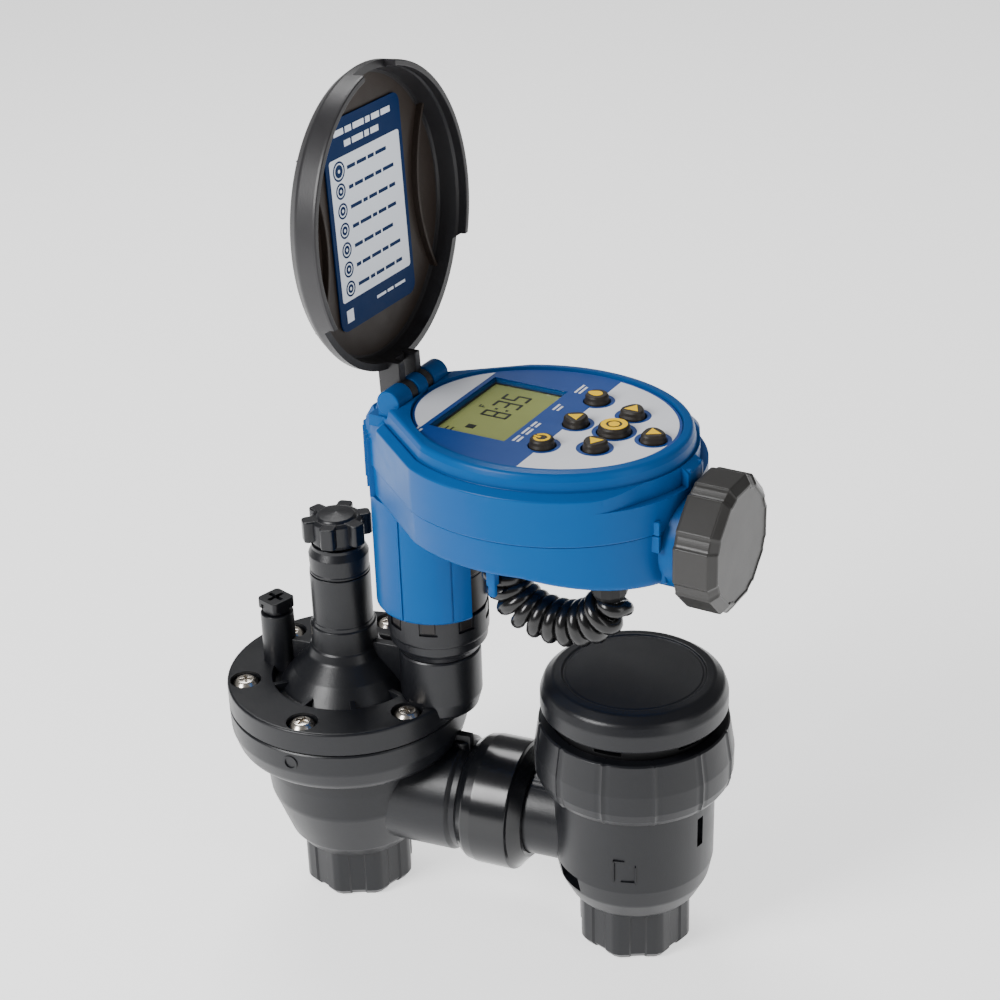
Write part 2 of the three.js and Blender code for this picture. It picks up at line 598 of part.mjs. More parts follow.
// ---- lid, drawn closed about its hinge line --------------------------------------------------------
function lid() {
  const top = LID_RIM + LID_DEPTH;
  const dish = cut(
    raised(ovalShape(LID_CENTRE, LID_LENGTH, LID_WIDTH), LID_RIM - 3, top, 2.6),
    block([-10, 120], [-60, 60], [-10, LID_RIM]),
    raised(ovalShape(LID_CENTRE, LID_LENGTH - LID_WALL, LID_WIDTH - LID_WALL), LID_RIM - 1, top - 3.6),
    raised(ovalShape(LID_CENTRE, LID_LENGTH - 4, LID_WIDTH - 4), LID_RIM - 1, top - LID_WALL),
    block([-10, SKIRT_START[0]], [-60, 0], [-10, LID_RIM + SKIRT_STEP]),
    block([-10, SKIRT_START[1]], [-1, 60], [-10, LID_RIM + SKIRT_STEP]),
    block([LATCH_GAP.x, 120], LATCH_GAP.y, [-10, LID_RIM + SKIRT_STEP]),
  );
  const lugs = lugSpans().map(([u0, u1]) => join(
    rodY(3.9, u0, u1, 0, 0),
    block([-1.5, LID_CENTRE - LID_LENGTH + 3], [u0, u1], [LID_RIM, 8.5]),
  ));
  const ribs = [-1, 1].map((side) => lidRib(side));
  const pinBore = rodY(PIN_RADIUS + 0.2, -20, 20, 0, 0);
  return cut(join(dish, ...lugs, ...ribs), pinBore);
}

const lugSpans = () => [[KNUCKLES[0][1] + GAP, KNUCKLES[1][0] - GAP], [KNUCKLES[1][1] + GAP, KNUCKLES[2][0] - GAP]];

// A bowed stiffening rib beside the lid label.
function lidRib(side) {
  const bow = (offset) => new THREE.QuadraticBezierCurve(
    new THREE.Vector2(LID_CENTRE - 26, side * (32 + offset)),
    new THREE.Vector2(LID_CENTRE, side * (18.6 + offset)),
    new THREE.Vector2(LID_CENTRE + 26, side * (32 + offset)),
  ).getPoints(10);
  const outline = [...bow(0), ...bow(1.5).reverse()];
  return raised(new THREE.Shape(outline), 8.2, LID_RIM + LID_DEPTH - 1);
}

const lidLabel = () => block([LID_CENTRE - 31.5, LID_CENTRE + 34], [-20.2, 20.2],
  [LID_RIM + LID_DEPTH - LID_WALL - GAP - 0.5, LID_RIM + LID_DEPTH - LID_WALL - GAP]);

const hingePin = () => rodY(PIN_RADIUS, KNUCKLES[0][0] + 0.4, 13.6, HINGE_V, HINGE_Z);

// ---- curly cord -----------------------------------------------------------------------------------
function glandPlaces() {
  const first = CORD_ROUTE[0];
  const last = CORD_ROUTE[CORD_ROUTE.length - 1];
  return [[first[0], first[1]], [last[0], last[1]]];
}

function curlyCord() {
  const route = new THREE.CatmullRomCurve3(CORD_ROUTE.map((p) => new THREE.Vector3(...p)));
  const geometry = new THREE.ExtrudeGeometry(polygonShape(12, COIL_RADIUS), { steps: 22, extrudePath: route });
  return solid(geometry);
}

const cordGland = ([v, u], bottom) => turned([
  [0, bottom], [4.6, bottom], [5.6, bottom + 2], [5.6, floorAt(v) - GAP], [2.8, floorAt(v) - GAP],
  [2.8, floorAt(v) + 3.2], [0, floorAt(v) + 3.2],
], [v, u]);

const floorAt = (v) => {
  const fall = (FLOOR_Z - FLOOR_END_Z) / (93 - FLOOR_SLOPE_V);
  return FLOOR_Z - Math.max(0, v + 5.6 - FLOOR_SLOPE_V) * fall;
};

// ---- assembly -------------------------------------------------------------------------------------
piece(base, 'valve_body', valveBody(), BLACK);
piece(base, 'valve_bonnet', valveBonnet(), BLACK);
SCREW_ANGLES.forEach((angle, i) => {
  piece(base, `bonnet_screw_${i + 1}`, bonnetScrew(onCircle(BOLT_CIRCLE, angle)), STEEL);
});
piece(base, 'diaphragm', diaphragm(), RUBBER);
piece(base, 'diaphragm_spring', diaphragmSpring(), STEEL);
piece(base, 'flow_control_stem', flowStem(), BLACK);
piece(base, 'flow_stem_o_ring', stemRing(), RUBBER);
piece(base, 'flow_stem_gland', stemGland(), BLACK);
piece(base, 'flow_control_knob', flowKnob(), BLACK);
piece(base, 'bleed_screw', bleedScrew(), BLACK);
piece(base, 'bleed_screw_o_ring', bleedRing(), RUBBER);

piece(base, 'solenoid_adapter', solenoidAdapter(), BLACK);
piece(base, 'solenoid_body', solenoidBody(), BLACK);
piece(base, 'solenoid_o_ring', solenoidRing(), RUBBER);
piece(base, 'solenoid_plunger', plunger(), STEEL);
piece(base, 'plunger_spring', plungerSpring(), STEEL);

piece(base, 'outlet_coupling', outletCoupling(), BLACK);
piece(base, 'outlet_coupling_o_ring', couplingRing(), RUBBER);
piece(base, 'breaker_body', breakerBody(), BLACK);
piece(base, 'breaker_collar', breakerCollar(), BLACK);
piece(base, 'breaker_neck', breakerNeck(), BLACK);
piece(base, 'breaker_canopy', breakerCanopy(), BLACK);
piece(base, 'breaker_float', breakerFloat(), WHITE_PLASTIC);
piece(base, 'breaker_float_seal', breakerSeal(), RUBBER);

piece(head, 'lower_housing', lowerHousing(), BLUE);
piece(head, 'upper_housing', upperHousing(), BLUE);
piece(head, 'case_gasket', caseGasket(), RUBBER);
CASE_SCREWS.forEach((at, i) => piece(head, `case_screw_${i + 1}`, caseScrew(at), STEEL));
piece(head, 'face_label', faceLabel(), LABEL);
piece(head, 'lcd_window', lcdWindow(), CLEAR);
piece(head, 'lcd_module', lcdModule(), LCD_GLASS);
piece(head, 'circuit_board', circuitBoard(), BOARD);
piece(head, 'keypad_frame', keypadFrame(), RUBBER);
BUTTONS.forEach(([name, v, u, r]) => piece(head, name, button(v, u, r), BUTTON));
piece(head, 'battery', battery(), CELL);
piece(head, 'battery_contacts', batteryContacts(), STEEL);
piece(head, 'battery_cap', batteryCap(), CAP_GREY);
piece(head, 'battery_cap_seal', batteryCapSeal(), RUBBER);
piece(head, 'hinge_pin', hingePin(), STEEL);
piece(head, 'curly_cord', curlyCord(), CORD);
glandPlaces().forEach((at, i) => {
  const top = i === 0 ? CORD_ROUTE[0][2] : CORD_ROUTE[CORD_ROUTE.length - 1][2];
  piece(head, `cord_gland_${i + 1}`, cordGland(at, top + GAP), BLACK);
});

piece(lidGroup, 'lid', lid(), LID_GREY);
piece(lidGroup, 'lid_label', lidLabel(), LID_LABEL);

// The model stands on its two ports, centred on its own footprint.
const model = new THREE.Group();
model.add(base);
model.updateMatrixWorld(true);
const extent = new THREE.Box3().setFromObject(model, true);
const centre = extent.getCenter(new THREE.Vector3());
base.position.set(-centre.x, -centre.y, -extent.min.z);
model.updateMatrixWorld(true);

export default model;
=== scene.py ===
"""Drip irrigation timer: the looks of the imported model, one function for each piece."""
import json
import math

import bmesh
import bpy
from mathutils import Matrix, Vector


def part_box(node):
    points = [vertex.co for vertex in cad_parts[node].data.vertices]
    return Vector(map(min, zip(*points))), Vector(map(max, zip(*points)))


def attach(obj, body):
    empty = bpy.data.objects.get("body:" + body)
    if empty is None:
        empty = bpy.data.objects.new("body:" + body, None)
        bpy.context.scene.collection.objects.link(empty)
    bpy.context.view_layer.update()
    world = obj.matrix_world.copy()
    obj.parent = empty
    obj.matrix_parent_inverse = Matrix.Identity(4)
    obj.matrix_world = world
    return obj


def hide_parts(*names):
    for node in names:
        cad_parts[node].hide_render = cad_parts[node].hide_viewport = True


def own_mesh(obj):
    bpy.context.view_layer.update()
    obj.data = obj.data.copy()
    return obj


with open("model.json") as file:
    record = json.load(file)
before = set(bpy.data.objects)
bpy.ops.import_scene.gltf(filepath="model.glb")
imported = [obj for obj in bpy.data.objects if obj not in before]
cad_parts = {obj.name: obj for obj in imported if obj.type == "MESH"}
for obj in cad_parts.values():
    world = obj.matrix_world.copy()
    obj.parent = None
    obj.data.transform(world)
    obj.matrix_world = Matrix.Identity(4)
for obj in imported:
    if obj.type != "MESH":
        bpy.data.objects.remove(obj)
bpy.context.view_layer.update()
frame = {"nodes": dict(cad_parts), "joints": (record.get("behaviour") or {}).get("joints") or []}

# ---- places read from the frame --------------------------------------------------------------------
JOINTS = {joint["name"]: joint for joint in frame["joints"]}


def centre(node):
    low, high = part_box(node)
    return (low + high) / 2


def upright(node):
    """Millimetres, +Z up, on the vertical axis through the middle of a node."""
    middle = centre(node)
    return Matrix.Translation((middle.x, middle.y, 0)) @ Matrix.Scale(0.001, 4)


VALVE = upright("flow_stem_gland")
TOWER = upright("solenoid_body")
BREAKER = upright("breaker_canopy")
BLEED = upright("bleed_screw_o_ring")
HEAD_AXIS = Vector(JOINTS["cap_turn"]["axis"])
YAW = math.atan2(HEAD_AXIS.y, HEAD_AXIS.x)
HEAD = TOWER @ Matrix.Rotation(YAW, 4, "Z")  # x along the housing, y across it
HINGE_V = -5.4
HINGE_Z = 193.2
LID_OPEN = math.radians(JOINTS["lid_hinge"]["range_deg"][1])
HINGE_LINE = Matrix.Translation((HINGE_V, 0, HINGE_Z)) @ Matrix.Rotation(math.radians(-90), 4, "X")
LID = HEAD @ Matrix.Translation((HINGE_V, 0, HINGE_Z)) @ Matrix.Rotation(-LID_OPEN, 4, "Y")
TOWER_X = (centre("solenoid_body").x - centre("flow_stem_gland").x) * 1000
PORT_SPACING = (centre("breaker_canopy").x - centre("flow_stem_gland").x) * 1000
BLEED_X = (centre("bleed_screw_o_ring").x - centre("flow_stem_gland").x) * 1000
ARC_STEPS = 5
ROUND_STEPS = 96
SHARP_ANGLE = math.radians(32)


# ---- shape tools, in millimetres -------------------------------------------------------------------
def rounded(points, closed=False):
    """A polyline of (a, b) or (a, b, rounding), with each rounding made as an arc."""
    result = []
    for i, point in enumerate(points):
        here = Vector(point[:2])
        rounding = point[2] if len(point) > 2 else 0
        if rounding == 0 or (not closed and i in (0, len(points) - 1)):
            result.append(here)
            continue
        before = Vector(points[i - 1][:2]) - here
        after = Vector(points[(i + 1) % len(points)][:2]) - here
        reach = min(rounding / math.tan(before.angle(after) / 2), 0.49 * before.length, 0.49 * after.length)
        start = here + before.normalized() * reach
        end = here + after.normalized() * reach
        for k in range(ARC_STEPS + 1):
            t = k / ARC_STEPS
            result.append(start * (1 - t) ** 2 + here * (2 * t * (1 - t)) + end * t ** 2)
    return result


def raw(verts, faces):
    """A mesh object of the given corners and faces, with its faces turned outward."""
    mesh = bpy.data.meshes.new("shape")
    mesh.from_pydata([tuple(v) for v in verts], [], faces)
    bm = bmesh.new()
    bm.from_mesh(mesh)
    bmesh.ops.remove_doubles(bm, verts=bm.verts, dist=1e-5)
    bmesh.ops.recalc_face_normals(bm, faces=bm.faces)
    bm.to_mesh(mesh)
    bm.free()
    obj = bpy.data.objects.new("shape", mesh)
    bpy.context.scene.collection.objects.link(obj)
    return obj


def stacked(outline, levels, closed=False):
    """Rings of outline(inset) at the given (inset, z, rounding) levels, skinned and capped."""
    verts, faces = [], []
    rings = rounded(levels, closed)
    for inset, z in rings:
        verts += [(x, y, z) for x, y in outline(inset)]
    count = len(verts) // len(rings)
    for i in range(len(rings) if closed else len(rings) - 1):
        low, high = i * count, ((i + 1) % len(rings)) * count
        for k in range(count):
            n = (k + 1) % count
            faces.append((low + k, low + n, high + n, high + k))
    if not closed:
        faces.append(tuple(reversed(range(count))))
        faces.append(tuple((len(rings) - 1) * count + k for k in range(count)))
    return raw(verts, faces)


def circle(radius, steps=ROUND_STEPS, x=0.0, y=0.0):
    return [(x + radius * math.cos(2 * math.pi * k / steps), y + radius * math.sin(2 * math.pi * k / steps))
            for k in range(steps)]


def turned(profile, x=0.0, y=0.0, steps=ROUND_STEPS, closed=False):
    """A turned shape from (radius, z, rounding) points; a radius of 0 closes on the axis."""
    points = [(max(p[0], 1e-3),) + tuple(p[1:]) for p in profile]
    return stacked(lambda radius: circle(radius, steps, x, y), points, closed)


def rod(radius, low, high, x=0.0, y=0.0, steps=ROUND_STEPS):
    return turned([(0, low), (radius, low), (radius, high), (0, high)], x, y, steps)


def tube(inner, outer, low, high, x=0.0, y=0.0, steps=ROUND_STEPS):
    return turned([(inner, low), (outer, low), (outer, high), (inner, high)], x, y, steps, closed=True)


def block(x, y, z, rounding=0.0):
    corners = [(a, b, c) for a in x for b in y for c in z]
    faces = [(0, 1, 3, 2), (4, 6, 7, 5), (0, 4, 5, 1), (2, 3, 7, 6), (0, 2, 6, 4), (1, 5, 7, 3)]
    obj = raw(corners, faces)
    return softened(obj, rounding) if rounding else obj


def prism(points, z0, z1, rounding=0.0):
    """An upright prism on the (x, y) points."""
    count = len(points)
    verts = [(x, y, z) for z in (z0, z1) for x, y in points]
    faces = [tuple(reversed(range(count))), tuple(range(count, 2 * count))]
    faces += [(k, (k + 1) % count, count + (k + 1) % count, count + k) for k in range(count)]
    obj = raw(verts, faces)
    return softened(obj, rounding) if rounding else obj


def softened(obj, width, angle=30, segments=3):
    """Rounds the edges sharper than the angle."""
    bevel = obj.modifiers.new("bevel", "BEVEL")
    bevel.width = width
    bevel.segments = segments
    bevel.limit_method = "ANGLE"
    bevel.angle_limit = math.radians(angle)
    return frozen(obj)


def frozen(obj):
    """Applies the modifiers."""
    graph = bpy.context.evaluated_depsgraph_get()
    mesh = bpy.data.meshes.new_from_object(obj.evaluated_get(graph))
    obj.modifiers.clear()
    obj.data = mesh
    return obj


def moved(obj, matrix):
    obj.data.transform(matrix)
    return obj


def shifted(obj, x=0.0, y=0.0, z=0.0):
    return moved(obj, Matrix.Translation((x, y, z)))


def spun(obj, degrees):
    return moved(obj, Matrix.Rotation(math.radians(degrees), 4, "Z"))


def lying(obj, z=0.0):
    """Turns a shape's own Z to +X and lifts it to height z."""
    return moved(obj, Matrix.Translation((0, 0, z)) @ Matrix.Rotation(math.radians(90), 4, "Y"))


def copied(obj):
    twin = bpy.data.objects.new("shape", obj.data.copy())
    bpy.context.scene.collection.objects.link(twin)
    return twin


def combined(base, tools, operation):
    for tool in tools:
        boolean = base.modifiers.new("boolean", "BOOLEAN")
        boolean.operation = operation
        boolean.solver = "EXACT"
        boolean.object = tool
    frozen(base)
    for tool in tools:
        bpy.data.objects.remove(tool)
    return base


def joined(base, *tools):
    return combined(base, tools, "UNION")


def cut(base, *tools):
    return combined(base, tools, "DIFFERENCE")


def kept(base, tool):
    return combined(base, [tool], "INTERSECT")


def merged(parts):
    """Several separate shapes as one mesh."""
    verts, faces = [], []
    for part in parts:
        start = len(verts)
        verts += [tuple(v.co) for v in part.data.vertices]
        faces += [tuple(start + i for i in face.vertices) for face in part.data.polygons]
        bpy.data.objects.remove(part)
    return raw(verts, faces)


def shown(name, obj, place, body, material, nodes=(), bevel=0.0):
    """Puts a finished shape in the frame, on its body, with its material."""
    if bevel:
        softened(obj, bevel, segments=2)
    obj.data.transform(place)
    obj.data.shade_smooth()
    obj.data.set_sharp_from_angle(angle=SHARP_ANGLE)
    normals = obj.modifiers.new("normals", "WEIGHTED_NORMAL")
    normals.keep_sharp = True
    obj.name = name
    obj.data.name = name
    obj.data.materials.clear()
    obj.data.materials.append(material)
    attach(obj, body)
    if nodes:
        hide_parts(*nodes)
    return obj


# ---- materials -------------------------------------------------------------------------------------
TONE_SCALE = 55  # features to the metre, as are the others
GLOSS_SCALE = 160
GLOSS_DRIFT = 0.18  # of the roughness, each way
GRAIN_DEPTH = 0.0001


def linear(red, green, blue):
    """sRGB bytes as a linear colour."""
    def one(value):
        value /= 255
        return value / 12.92 if value <= 0.04045 else ((value + 0.055) / 1.055) ** 2.4
    return (one(red), one(green), one(blue), 1)


def surface(name, colour, roughness, grain=0.0, grain_size=0.4, variation=0.08, metallic=0.0,
            specular=0.5):
    """Moulded or drawn material: a fine grain in the bump, slow drifts of tone and of gloss."""
    mat = bpy.data.materials.new(name)
    mat.use_nodes = True
    nodes, links = mat.node_tree.nodes, mat.node_tree.links
    shader = nodes["Principled BSDF"]
    shader.inputs["Metallic"].default_value = metallic
    shader.inputs["Specular IOR Level"].default_value = specular
    place = nodes.new("ShaderNodeTexCoord")

    def noise(scale, detail):
        node = nodes.new("ShaderNodeTexNoise")
        node.inputs["Scale"].default_value = scale
        node.inputs["Detail"].default_value = detail
        links.new(place.outputs["Object"], node.inputs["Vector"])
        return node.outputs["Fac"]

    mix = nodes.new("ShaderNodeMix")
    mix.data_type = "RGBA"
    low = [c * (1 - variation) for c in colour[:3]]
    high = [min(1, c * (1 + variation)) for c in colour[:3]]
    mix.inputs["A"].default_value = (*low, 1)
    mix.inputs["B"].default_value = (*high, 1)
    links.new(noise(TONE_SCALE, 4), mix.inputs["Factor"])
    links.new(mix.outputs["Result"], shader.inputs["Base Color"])

    spread = nodes.new("ShaderNodeMapRange")
    spread.inputs["To Min"].default_value = roughness * (1 - GLOSS_DRIFT)
    spread.inputs["To Max"].default_value = min(1, roughness * (1 + GLOSS_DRIFT))
    links.new(noise(GLOSS_SCALE, 3), spread.inputs["Value"])
    links.new(spread.outputs["Result"], shader.inputs["Roughness"])

    if grain:
        bump = nodes.new("ShaderNodeBump")
        bump.inputs["Strength"].default_value = grain
        bump.inputs["Distance"].default_value = GRAIN_DEPTH
        links.new(noise(1000 / grain_size, 2), bump.inputs["Height"])
        links.new(bump.outputs["Normal"], shader.inputs["Normal"])
    return mat


BLACK = surface("black_nylon", linear(19, 20, 24), 0.34, grain=0.35, grain_size=0.5,
                variation=0.14, specular=0.38)
GLOSS_BLACK = surface("smooth_black_nylon", linear(16, 17, 20), 0.2, grain=0.06,
                      grain_size=1.2)
DEEP_BLACK = surface("shaded_black_nylon", linear(14, 14, 16), 0.5, grain=0.3,
                     grain_size=0.5, specular=0.3)
BROWN_BLACK = surface("solenoid_plastic", linear(24, 20, 19), 0.36, grain=0.2,
                      grain_size=0.4, specular=0.35)
BLUE = surface("blue_housing", (0.0001, 0.073, 0.26, 1), 0.34, grain=0.16, grain_size=0.35,
               variation=0.05, specular=0.14)
CAP_GREY = surface("grey_cap", linear(50, 49, 48), 0.32, grain=0.2, grain_size=0.35,
                   specular=0.3)
LID_GREY = surface("lid_grey", linear(37, 36, 38), 0.38, grain=0.25, grain_size=0.4,
                   specular=0.4)
LID_FLOOR = surface("lid_floor", linear(46, 38, 33), 0.5, grain=0.3, grain_size=0.4,
                    specular=0.3)
STEEL = surface("stainless", linear(205, 198, 188), 0.24, grain=0.1, grain_size=0.3,
                metallic=1.0)
RUBBER = surface("seal_rubber", linear(28, 28, 29), 0.62, grain=0.2)
KEY_RUBBER = surface("key_rubber", linear(40, 35, 29), 0.5, grain=0.25, grain_size=0.3,
                     specular=0.35)
YELLOW = surface("key_mark", (1.0, 0.6, 0.0, 1), 0.5, grain=0.1, grain_size=0.3,
                 variation=0.03, specular=0.15)
PRINT_BLUE = surface("print_blue", (0.002, 0.05, 0.25, 1), 0.34, grain=0.06, variation=0.04)
PRINT_WHITE = surface("print_white", linear(224, 226, 232), 0.36, grain=0.05, variation=0.03)
DEEP_BLUE = surface("lid_print_blue", (0.0005, 0.019, 0.085, 1), 0.5, grain=0.06,
                    variation=0.05, specular=0.08)
PALE_BLUE = surface("lid_print_pale", linear(236, 242, 252), 0.5, grain=0.05, variation=0.03)
LCD_GREEN = surface("display_olive", (0.42, 0.47, 0.15, 1), 0.22, variation=0.1)
LCD_INK = surface("display_ink", linear(12, 14, 10), 0.4, variation=0.1)
BEZEL = surface("display_bezel", linear(30, 28, 26), 0.3, variation=0.1)
BOARD = surface("circuit_green", linear(28, 104, 58), 0.45, grain=0.1)
CELL = surface("cell_jacket", linear(86, 78, 70), 0.34, metallic=0.4)
BRASS = surface("contact_brass", linear(196, 160, 84), 0.3, metallic=1.0)
WHITE = surface("white_acetal", linear(226, 226, 220), 0.42, grain=0.1)
CORD = surface("cord_jacket", linear(11, 11, 12), 0.24, grain=0.05, grain_size=1.5,
               specular=0.5)


def window_material():
    """Clear window: thin and faintly green, with a little sheen."""
    mat = surface("clear_window", linear(60, 66, 50), 0.08, variation=0.02)
    mat.node_tree.nodes["Principled BSDF"].inputs["Alpha"].default_value = 0.1
    return mat


CLEAR = window_material()


# ---- camera, light and floor -----------------------------------------------------------------------
CAMERA_PLACE = Vector((287.92, -550.51, 459.34))  # from the foot of the inlet axis
CAMERA_FORWARD = Vector((-0.34242, 0.82418, -0.45109)).normalized()
CAMERA_LEVEL = Vector((0.92347, 0.38367, 0)).normalized()
CAMERA_ROLL = math.radians(-1.876)
LENS = 75.22
FLOOR_REACH = 30.0
FLOOR_GLOW = 1.1
SKY = 0.2


def make_camera():
    data = bpy.data.cameras.new("camera")
    data.lens = LENS
    data.sensor_width = 36
    data.clip_start = 0.01
    camera = bpy.data.objects.new("camera", data)
    bpy.context.scene.collection.objects.link(camera)
    up = CAMERA_LEVEL.cross(CAMERA_FORWARD)
    right = CAMERA_LEVEL * math.cos(CAMERA_ROLL) + up * math.sin(CAMERA_ROLL)
    top = up * math.cos(CAMERA_ROLL) - CAMERA_LEVEL * math.sin(CAMERA_ROLL)
    turn = Matrix((right, top, -CAMERA_FORWARD)).transposed()
    camera.matrix_world = Matrix.Translation(VALVE @ CAMERA_PLACE) @ turn.to_4x4()
    bpy.context.scene.camera = camera


def area_light(name, place, target, size, power):
    data = bpy.data.lights.new(name, "AREA")
    data.shape = "RECTANGLE"
    data.size, data.size_y = size
    data.energy = power
    light = bpy.data.objects.new(name, data)
    light.location = place
    light.rotation_euler = (Vector(target) - Vector(place)).to_track_quat("-Z", "Y").to_euler()
    bpy.context.scene.collection.objects.link(light)


def make_stage():
    floor = raw([(x * FLOOR_REACH, y * FLOOR_REACH, 0) for x, y in ((-1, -1), (1, -1), (1, 1), (-1, 1))],
                [(0, 1, 2, 3)])
    floor.name = "floor"
    pale = surface("pale_floor", (0.9, 0.9, 0.9, 1), 0.7, variation=0.01)
    shader = pale.node_tree.nodes["Principled BSDF"]
    shader.inputs["Emission Color"].default_value = (1, 1, 1, 1)
    shader.inputs["Emission Strength"].default_value = FLOOR_GLOW
    floor.data.materials.append(pale)
    world = bpy.context.scene.world or bpy.data.worlds.new("world")
    bpy.context.scene.world = world
    world.use_nodes = True
    background = world.node_tree.nodes["Background"]
    background.inputs["Color"].default_value = (1, 1, 1, 1)
    background.inputs["Strength"].default_value = SKY
    area_light("key", (-0.5, -0.8, 0.74), (0, 0, 0.13), (0.42, 0.48), 14)
    area_light("side", (0.9, -0.35, 0.5), (0, 0, 0.12), (0.3, 0.8), 2.2)
    area_light("back", (-0.5, 0.6, 1.2), (0, 0, 0.12), (0.7, 0.4), 9)


# ---- curly cord ------------------------------------------------------------------------------------
CORD_ROUTE = [  # centre of the coil in head coordinates, in metres, from gland to gland
    (0.0390, -0.0215, 0.1515),
    (0.0390, -0.0215, 0.1490),
    (0.0410, -0.0215, 0.1425),
    (0.0465, -0.0216, 0.1374),
    (0.0545, -0.0217, 0.1354),
    (0.0630, -0.0218, 0.1360),
    (0.0705, -0.0219, 0.1396),
    (0.0748, -0.0220, 0.1446),
    (0.0754, -0.0220, 0.1466),
    (0.0754, -0.0220, 0.1484),
]
CORD_DIAMETER = 0.0048
COIL_RADIUS = 0.0052  # of the wire's centre about the coil's own line
COIL_PITCH = 0.0044
COIL_TAPER = 0.0025  # of the route at each end, over which the turns open out
STRAIGHT_ENDS = 0.004  # of the route, which count for no turn
TURN_STEPS = 20


def smooth_route(points, steps=24):
    """Evenly spaced points along a Catmull-Rom curve."""
    dense = []
    for i in range(len(points) - 1):
        a, b, c, d = (Vector(points[max(0, min(len(points) - 1, i + k))]) for k in (-1, 0, 1, 2))
        for k in range(steps):
            t = k / steps
            dense.append(0.5 * (2 * b + (c - a) * t + (2 * a - 5 * b + 4 * c - d) * t ** 2
                                + (3 * b - 3 * c + d - a) * t ** 3))
    dense.append(Vector(points[-1]))
    return dense


def helix_points():
    """The wire: out of the first gland, round and round along the route, into the second."""
    line = smooth_route(CORD_ROUTE)
    reach = [0.0]
    for a, b in zip(line, line[1:]):
        reach.append(reach[-1] + (b - a).length)
    total = reach[-1]
    turns = round((total - STRAIGHT_ENDS) / COIL_PITCH)
    count = turns * TURN_STEPS
    points, k = [], 0
    side = Vector((0, 1, 0))
    for i in range(count + 1):
        along = total * i / count
        while k < len(line) - 2 and reach[k + 1] < along:
            k += 1
        share = (along - reach[k]) / max(1e-9, reach[k + 1] - reach[k])
        here = line[k].lerp(line[k + 1], share)
        ahead = (line[min(k + 2, len(line) - 1)] - line[max(k - 1, 0)]).normalized()
        across = ahead.cross(side).normalized()
        angle = 2 * math.pi * turns * i / count
        open_ends = min(1.0, along / COIL_TAPER, (total - along) / COIL_TAPER)
        radius = COIL_RADIUS * math.sin(0.5 * math.pi * max(0.0, open_ends))
        points.append(here + (across * math.cos(angle) + side * math.sin(angle)) * radius)
    return points


def make_cord():
    curve = bpy.data.curves.new("curly_cord_wire", "CURVE")
    curve.dimensions = "3D"
    curve.bevel_depth = CORD_DIAMETER / 2
    curve.bevel_resolution = 4
    curve.use_fill_caps = True
    points = helix_points()
    spline = curve.splines.new("POLY")
    spline.points.add(len(points) - 1)
    place = TOWER @ Matrix.Rotation(YAW, 4, "Z") @ Matrix.Scale(1000, 4)
    world = [place @ p for p in points]
    for point, co in zip(spline.points, world):
        point.co = (*co, 1)
    cord = bpy.data.objects.new("curly_cord_wire", curve)
    bpy.context.scene.collection.objects.link(cord)
    curve.materials.append(CORD)
    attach(cord, "head")
    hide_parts("curly_cord")


# ---- valve -----------------------------------------------------------------------------------------
PIPE_Z = 41.9
SPLIT_Z = 74.2
FLANGE = 41.4
BOLT_CIRCLE = 35
SCREW_ANGLES = (-150, -90, -30, 30, 90, 150)
PORT_FLATS = 36.77
PORT_CORNER = 19.9 - 0.45
FLUTE_DEPTH = 0.55
FLUTE_HALF_ANGLE = math.radians(8.5)
THREAD_PITCH = 1.8
THREAD_TURNS = 8


def on_circle(radius, degrees):
    return radius * math.cos(math.radians(degrees)), radius * math.sin(math.radians(degrees))


def fluted_octagon(inset, steps=192):
    """Octagonal port end with a shallow flute down the middle of each face."""
    points = []
    for k in range(steps):
        angle = 2 * math.pi * k / steps
        local = (angle + math.pi / 8) % (math.pi / 4) - math.pi / 8
        from_middle = math.pi / 8 - abs(local)
        radius = min(PORT_FLATS / 2 / math.cos(from_middle), PORT_CORNER)
        radius -= inset + (FLUTE_DEPTH if from_middle < FLUTE_HALF_ANGLE else 0)
        points.append((radius * math.cos(angle), radius * math.sin(angle)))
    return points


def port_end():
    return stacked(fluted_octagon, [(1.6, 0), (0, 2.2), (0, 19.6), (0.5, 21)])


def port_bore():
    """The threaded mouth: a plain lead-in, then the ridges of the thread."""
    profile = [(12.9, -1), (12.9, 0.6)]
    for turn in range(THREAD_TURNS):
        profile += [(12.3, 1.4 + THREAD_PITCH * turn), (11.6, 2.3 + THREAD_PITCH * turn)]
    profile += [(12.3, 16.6), (12.3, 17.6), (0, 17.6), (0, -1)]
    return turned(profile, steps=64, closed=True)


